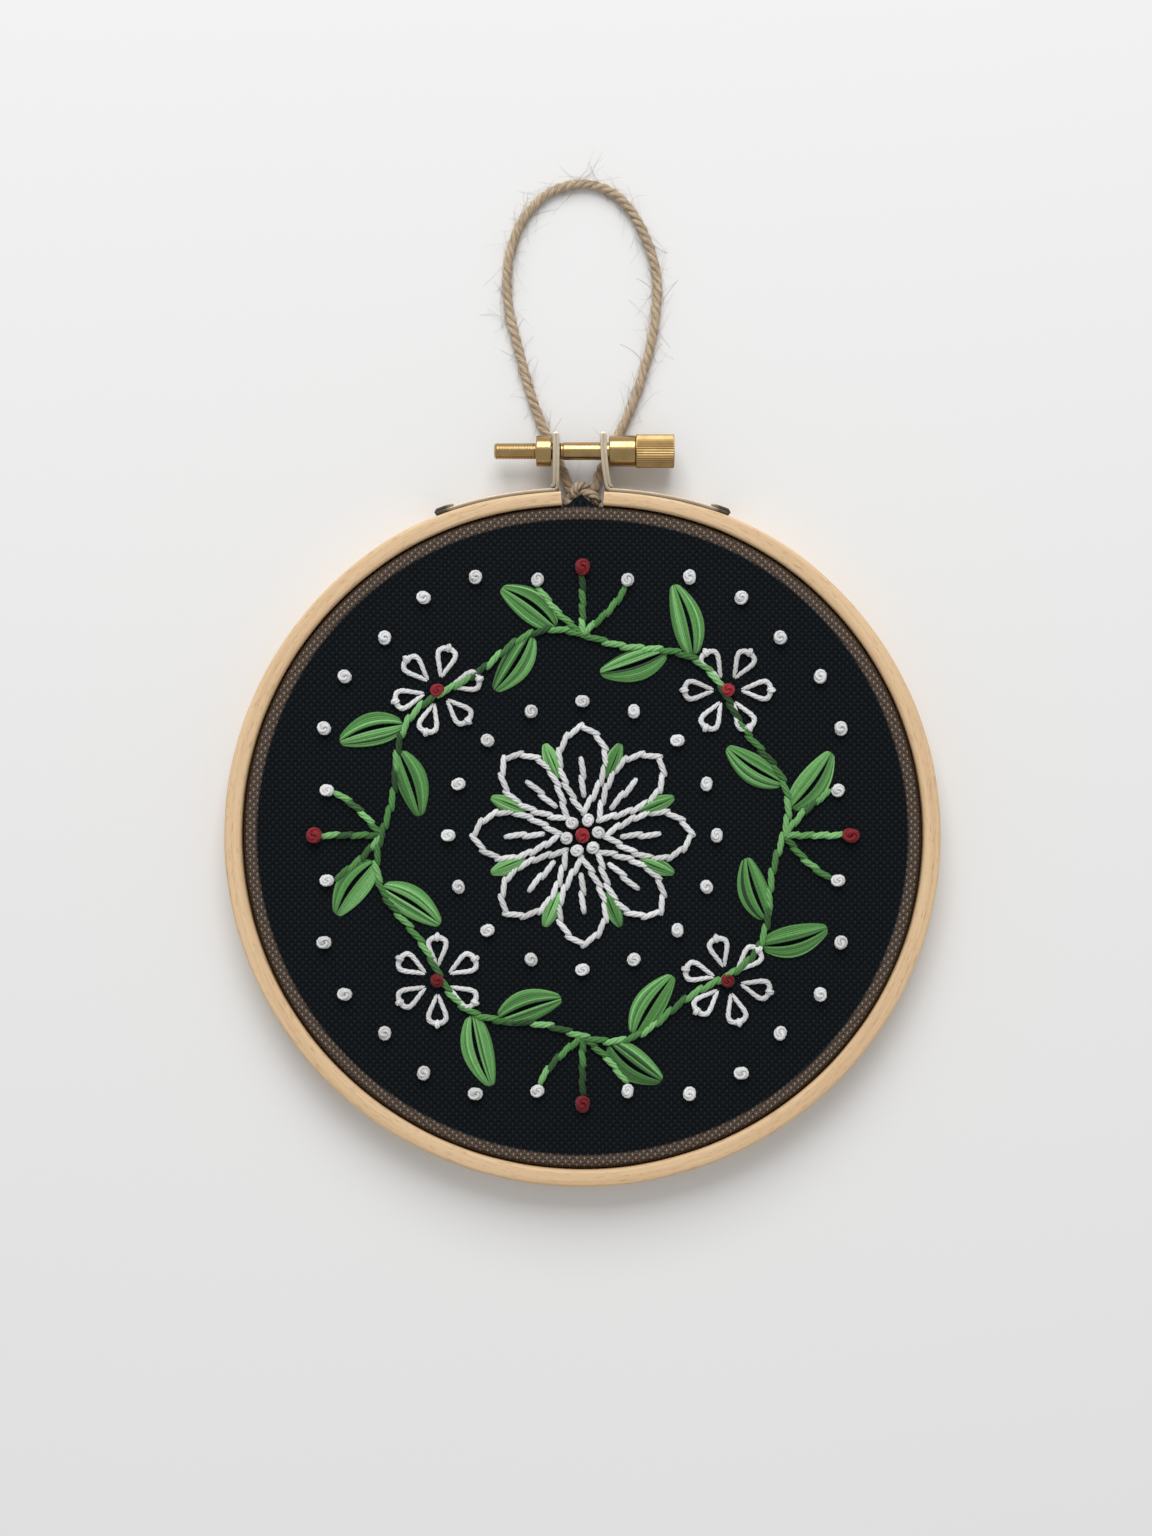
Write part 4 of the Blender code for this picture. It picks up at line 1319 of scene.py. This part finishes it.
def brass_finish():
    """Lathe-turned brass with fine rings round its axis and a little tarnish."""
    finish, tree, shader = new_finish("brass", 0.3, 1.0)
    place = add_node(tree, "ShaderNodeTexCoord").outputs["Object"]
    inputs = {"Vector": place, "Scale": (9000.0, 150.0, 150.0)}
    rings = add_node(tree, "ShaderNodeMapping", inputs, vector_type="POINT").outputs[0]
    rings = speckle(tree, rings, 1.0)
    marks = speckle(tree, place, 380.0, 4.0)
    tarnish = between(tree, marks, 0.42, 0.72, 0.0, 0.4)
    colour = mix_colours(tree, tarnish, (0.50, 0.345, 0.155, 1), (0.32, 0.20, 0.075, 1))
    tree.links.new(colour, shader.inputs["Base Color"])
    sideways = add_node(tree, "ShaderNodeSeparateXYZ", {0: place}).outputs[0]
    on_knob = between(tree, sideways, KNOB_START_X, KNOB_START_X + CHAMFER, 0.0, 0.26)
    rough = between(tree, marks, 0.3, 0.7, 0.20, 0.28)
    tree.links.new(calculate(tree, "ADD", rough, on_knob), shader.inputs["Roughness"])
    tree.links.new(bumped(tree, rings, 0.012 * MM), shader.inputs["Normal"])
    return finish


def rounded_band(start_x, end_x, radius):
    """Points of (x, radius) along a cylinder with a small chamfer at both ends."""
    return [
        (start_x, radius - CHAMFER),
        (start_x + CHAMFER / 3, radius - CHAMFER / 3),
        (start_x + CHAMFER, radius),
        (start_x + CHAMFER + BESIDE_CHAMFER, radius),
        (end_x - CHAMFER - BESIDE_CHAMFER, radius),
        (end_x - CHAMFER, radius),
        (end_x - CHAMFER / 3, radius - CHAMFER / 3),
        (end_x, radius - CHAMFER),
    ]


def screw_profile():
    """Points of (x, radius) from the thread's end to the knob's, close together on the thread."""
    thread_start = SCREW_END_X + 2 * CHAMFER
    profile = [(SCREW_END_X, 0.0), (SCREW_END_X, THREAD_RADIUS - 2 * CHAMFER)]
    rows = round((THREAD_STOP_X - thread_start) / (THREAD_PITCH_LENGTH / 6))
    for i in range(rows + 1):
        x = thread_start + (THREAD_STOP_X - thread_start) * i / rows
        profile.append((x, THREAD_RADIUS))
    profile += [
        (THREAD_STOP_X + CHAMFER, SHAFT_RADIUS),
        (THREAD_STOP_X + CHAMFER + BESIDE_CHAMFER, SHAFT_RADIUS),
        (COLLAR_START_X - BESIDE_CHAMFER, SHAFT_RADIUS),
        (COLLAR_START_X, SHAFT_RADIUS),
    ]
    profile += rounded_band(COLLAR_START_X, KNOB_START_X - BESIDE_CHAMFER, COLLAR_RADIUS)
    profile += rounded_band(KNOB_START_X, KNOB_END_X, KNOB_RADIUS)
    profile.append((KNOB_END_X, 0.0))
    return profile


def make_screw(finish):
    bm = turned(screw_profile(), KNURLS * 4)
    for vert in bm.verts:
        radius = vert.co.yz.length
        around = math.atan2(vert.co.z, vert.co.y) / (2 * math.pi)
        on_thread = SCREW_END_X + CHAMFER < vert.co.x < THREAD_STOP_X
        if radius > KNOB_RADIUS - 0.01 * MM:
            ridge = abs((around * KNURLS) % 1.0 - 0.5) * 2
            vert.co.yz *= 1 - KNURL_DEPTH * (1 - ridge) / KNOB_RADIUS
        elif on_thread and radius > THREAD_RADIUS - 0.01 * MM:
            groove = abs((vert.co.x / THREAD_PITCH_LENGTH - around) % 1.0 - 0.5) * 2
            fade = min(1.0, (THREAD_STOP_X - vert.co.x) / THREAD_PITCH_LENGTH)
            vert.co.yz *= 1 - THREAD_DEPTH * (1 - groove) * fade / THREAD_RADIUS
    bmesh.ops.translate(bm, vec=(0.0, SCREW_Y, SCREW_Z), verts=bm.verts)
    body = placed("screw body", smooth_mesh(bm, "screw body", 50))

    bm = bmesh.new()
    bmesh.ops.create_cube(bm, size=1.0)
    bmesh.ops.scale(bm, vec=(2 * SLOT_DEPTH, 3 * KNOB_RADIUS, SLOT_WIDTH), verts=bm.verts)
    bmesh.ops.translate(bm, vec=(KNOB_END_X, SCREW_Y, SCREW_Z), verts=bm.verts)
    cutter = placed("slot cutter", smooth_mesh(bm, "slot cutter"))
    cut_by(body, cutter)
    made = baked("clamp_screw", body, cutter, 50)
    piece = add_piece(made, finish, "screw")
    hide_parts("screw")


def make_nut(finish):
    nut_low, nut_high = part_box("nut")
    radius = (nut_high.y - nut_low.y) / 2
    bore = THREAD_RADIUS + NUT_CLEARANCE
    profile = rounded_band(nut_low.x, nut_high.x, radius)
    profile += [
        (nut_high.x, bore + CHAMFER),
        (nut_high.x - CHAMFER, bore),
        (nut_low.x + CHAMFER, bore),
        (nut_low.x, bore + CHAMFER),
        (nut_low.x, radius - CHAMFER),
    ]
    bm = turned(profile, 96)
    bmesh.ops.translate(bm, vec=(0.0, SCREW_Y, SCREW_Z), verts=bm.verts)
    piece = add_piece(smooth_mesh(bm, "clamp_nut", 50), finish, "nut")
    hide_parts("nut")


brass = brass_finish()
make_screw(brass)
make_nut(brass)

# Floor and light
# A plain pale surface under the piece, which lies on it with its back.
# One wide soft lamp stands beyond the top of the hoop, and an even pale sky fills the shadows.

FLOOR_SIZE = 6.0
KEY_SIZE = 1.19
KEY_PLACE = Vector((-0.06, 1.25, 1.125))
KEY_POWER = 22.0
SKY_STRENGTH = 0.5


def make_floor():
    bm = bmesh.new()
    bmesh.ops.create_grid(bm, x_segments=1, y_segments=1, size=FLOOR_SIZE / 2)
    mesh = bpy.data.meshes.new("floor")
    bm.to_mesh(mesh)
    bm.free()
    finish, tree, shader = new_finish("pale_floor", 0.8)
    place = add_node(tree, "ShaderNodeTexCoord").outputs["Object"]
    clouds = speckle(tree, place, 3.0)
    colour = mix_colours(tree, clouds, (0.845, 0.845, 0.84, 1), (0.865, 0.865, 0.86, 1))
    tree.links.new(colour, shader.inputs["Base Color"])
    shader.inputs["Specular IOR Level"].default_value = 0.1
    mesh.materials.append(finish)
    placed("floor", mesh)


def make_light():
    lamp = bpy.data.lights.new("key", "AREA")
    lamp.size = KEY_SIZE
    lamp.energy = KEY_POWER
    key = placed("key", lamp)
    key.location = KEY_PLACE
    towards = Vector((0.0, CENTRE_Y, 0.0)) - KEY_PLACE
    key.rotation_euler = towards.to_track_quat("-Z", "Y").to_euler()
    world = bpy.data.worlds.new("sky")
    world.use_nodes = True
    sky = world.node_tree.nodes["Background"]
    sky.inputs["Color"].default_value = (0.98, 0.985, 0.99, 1.0)
    sky.inputs["Strength"].default_value = SKY_STRENGTH
    bpy.context.scene.world = world
    bpy.context.scene.view_settings.view_transform = "Standard"


make_floor()
make_light()
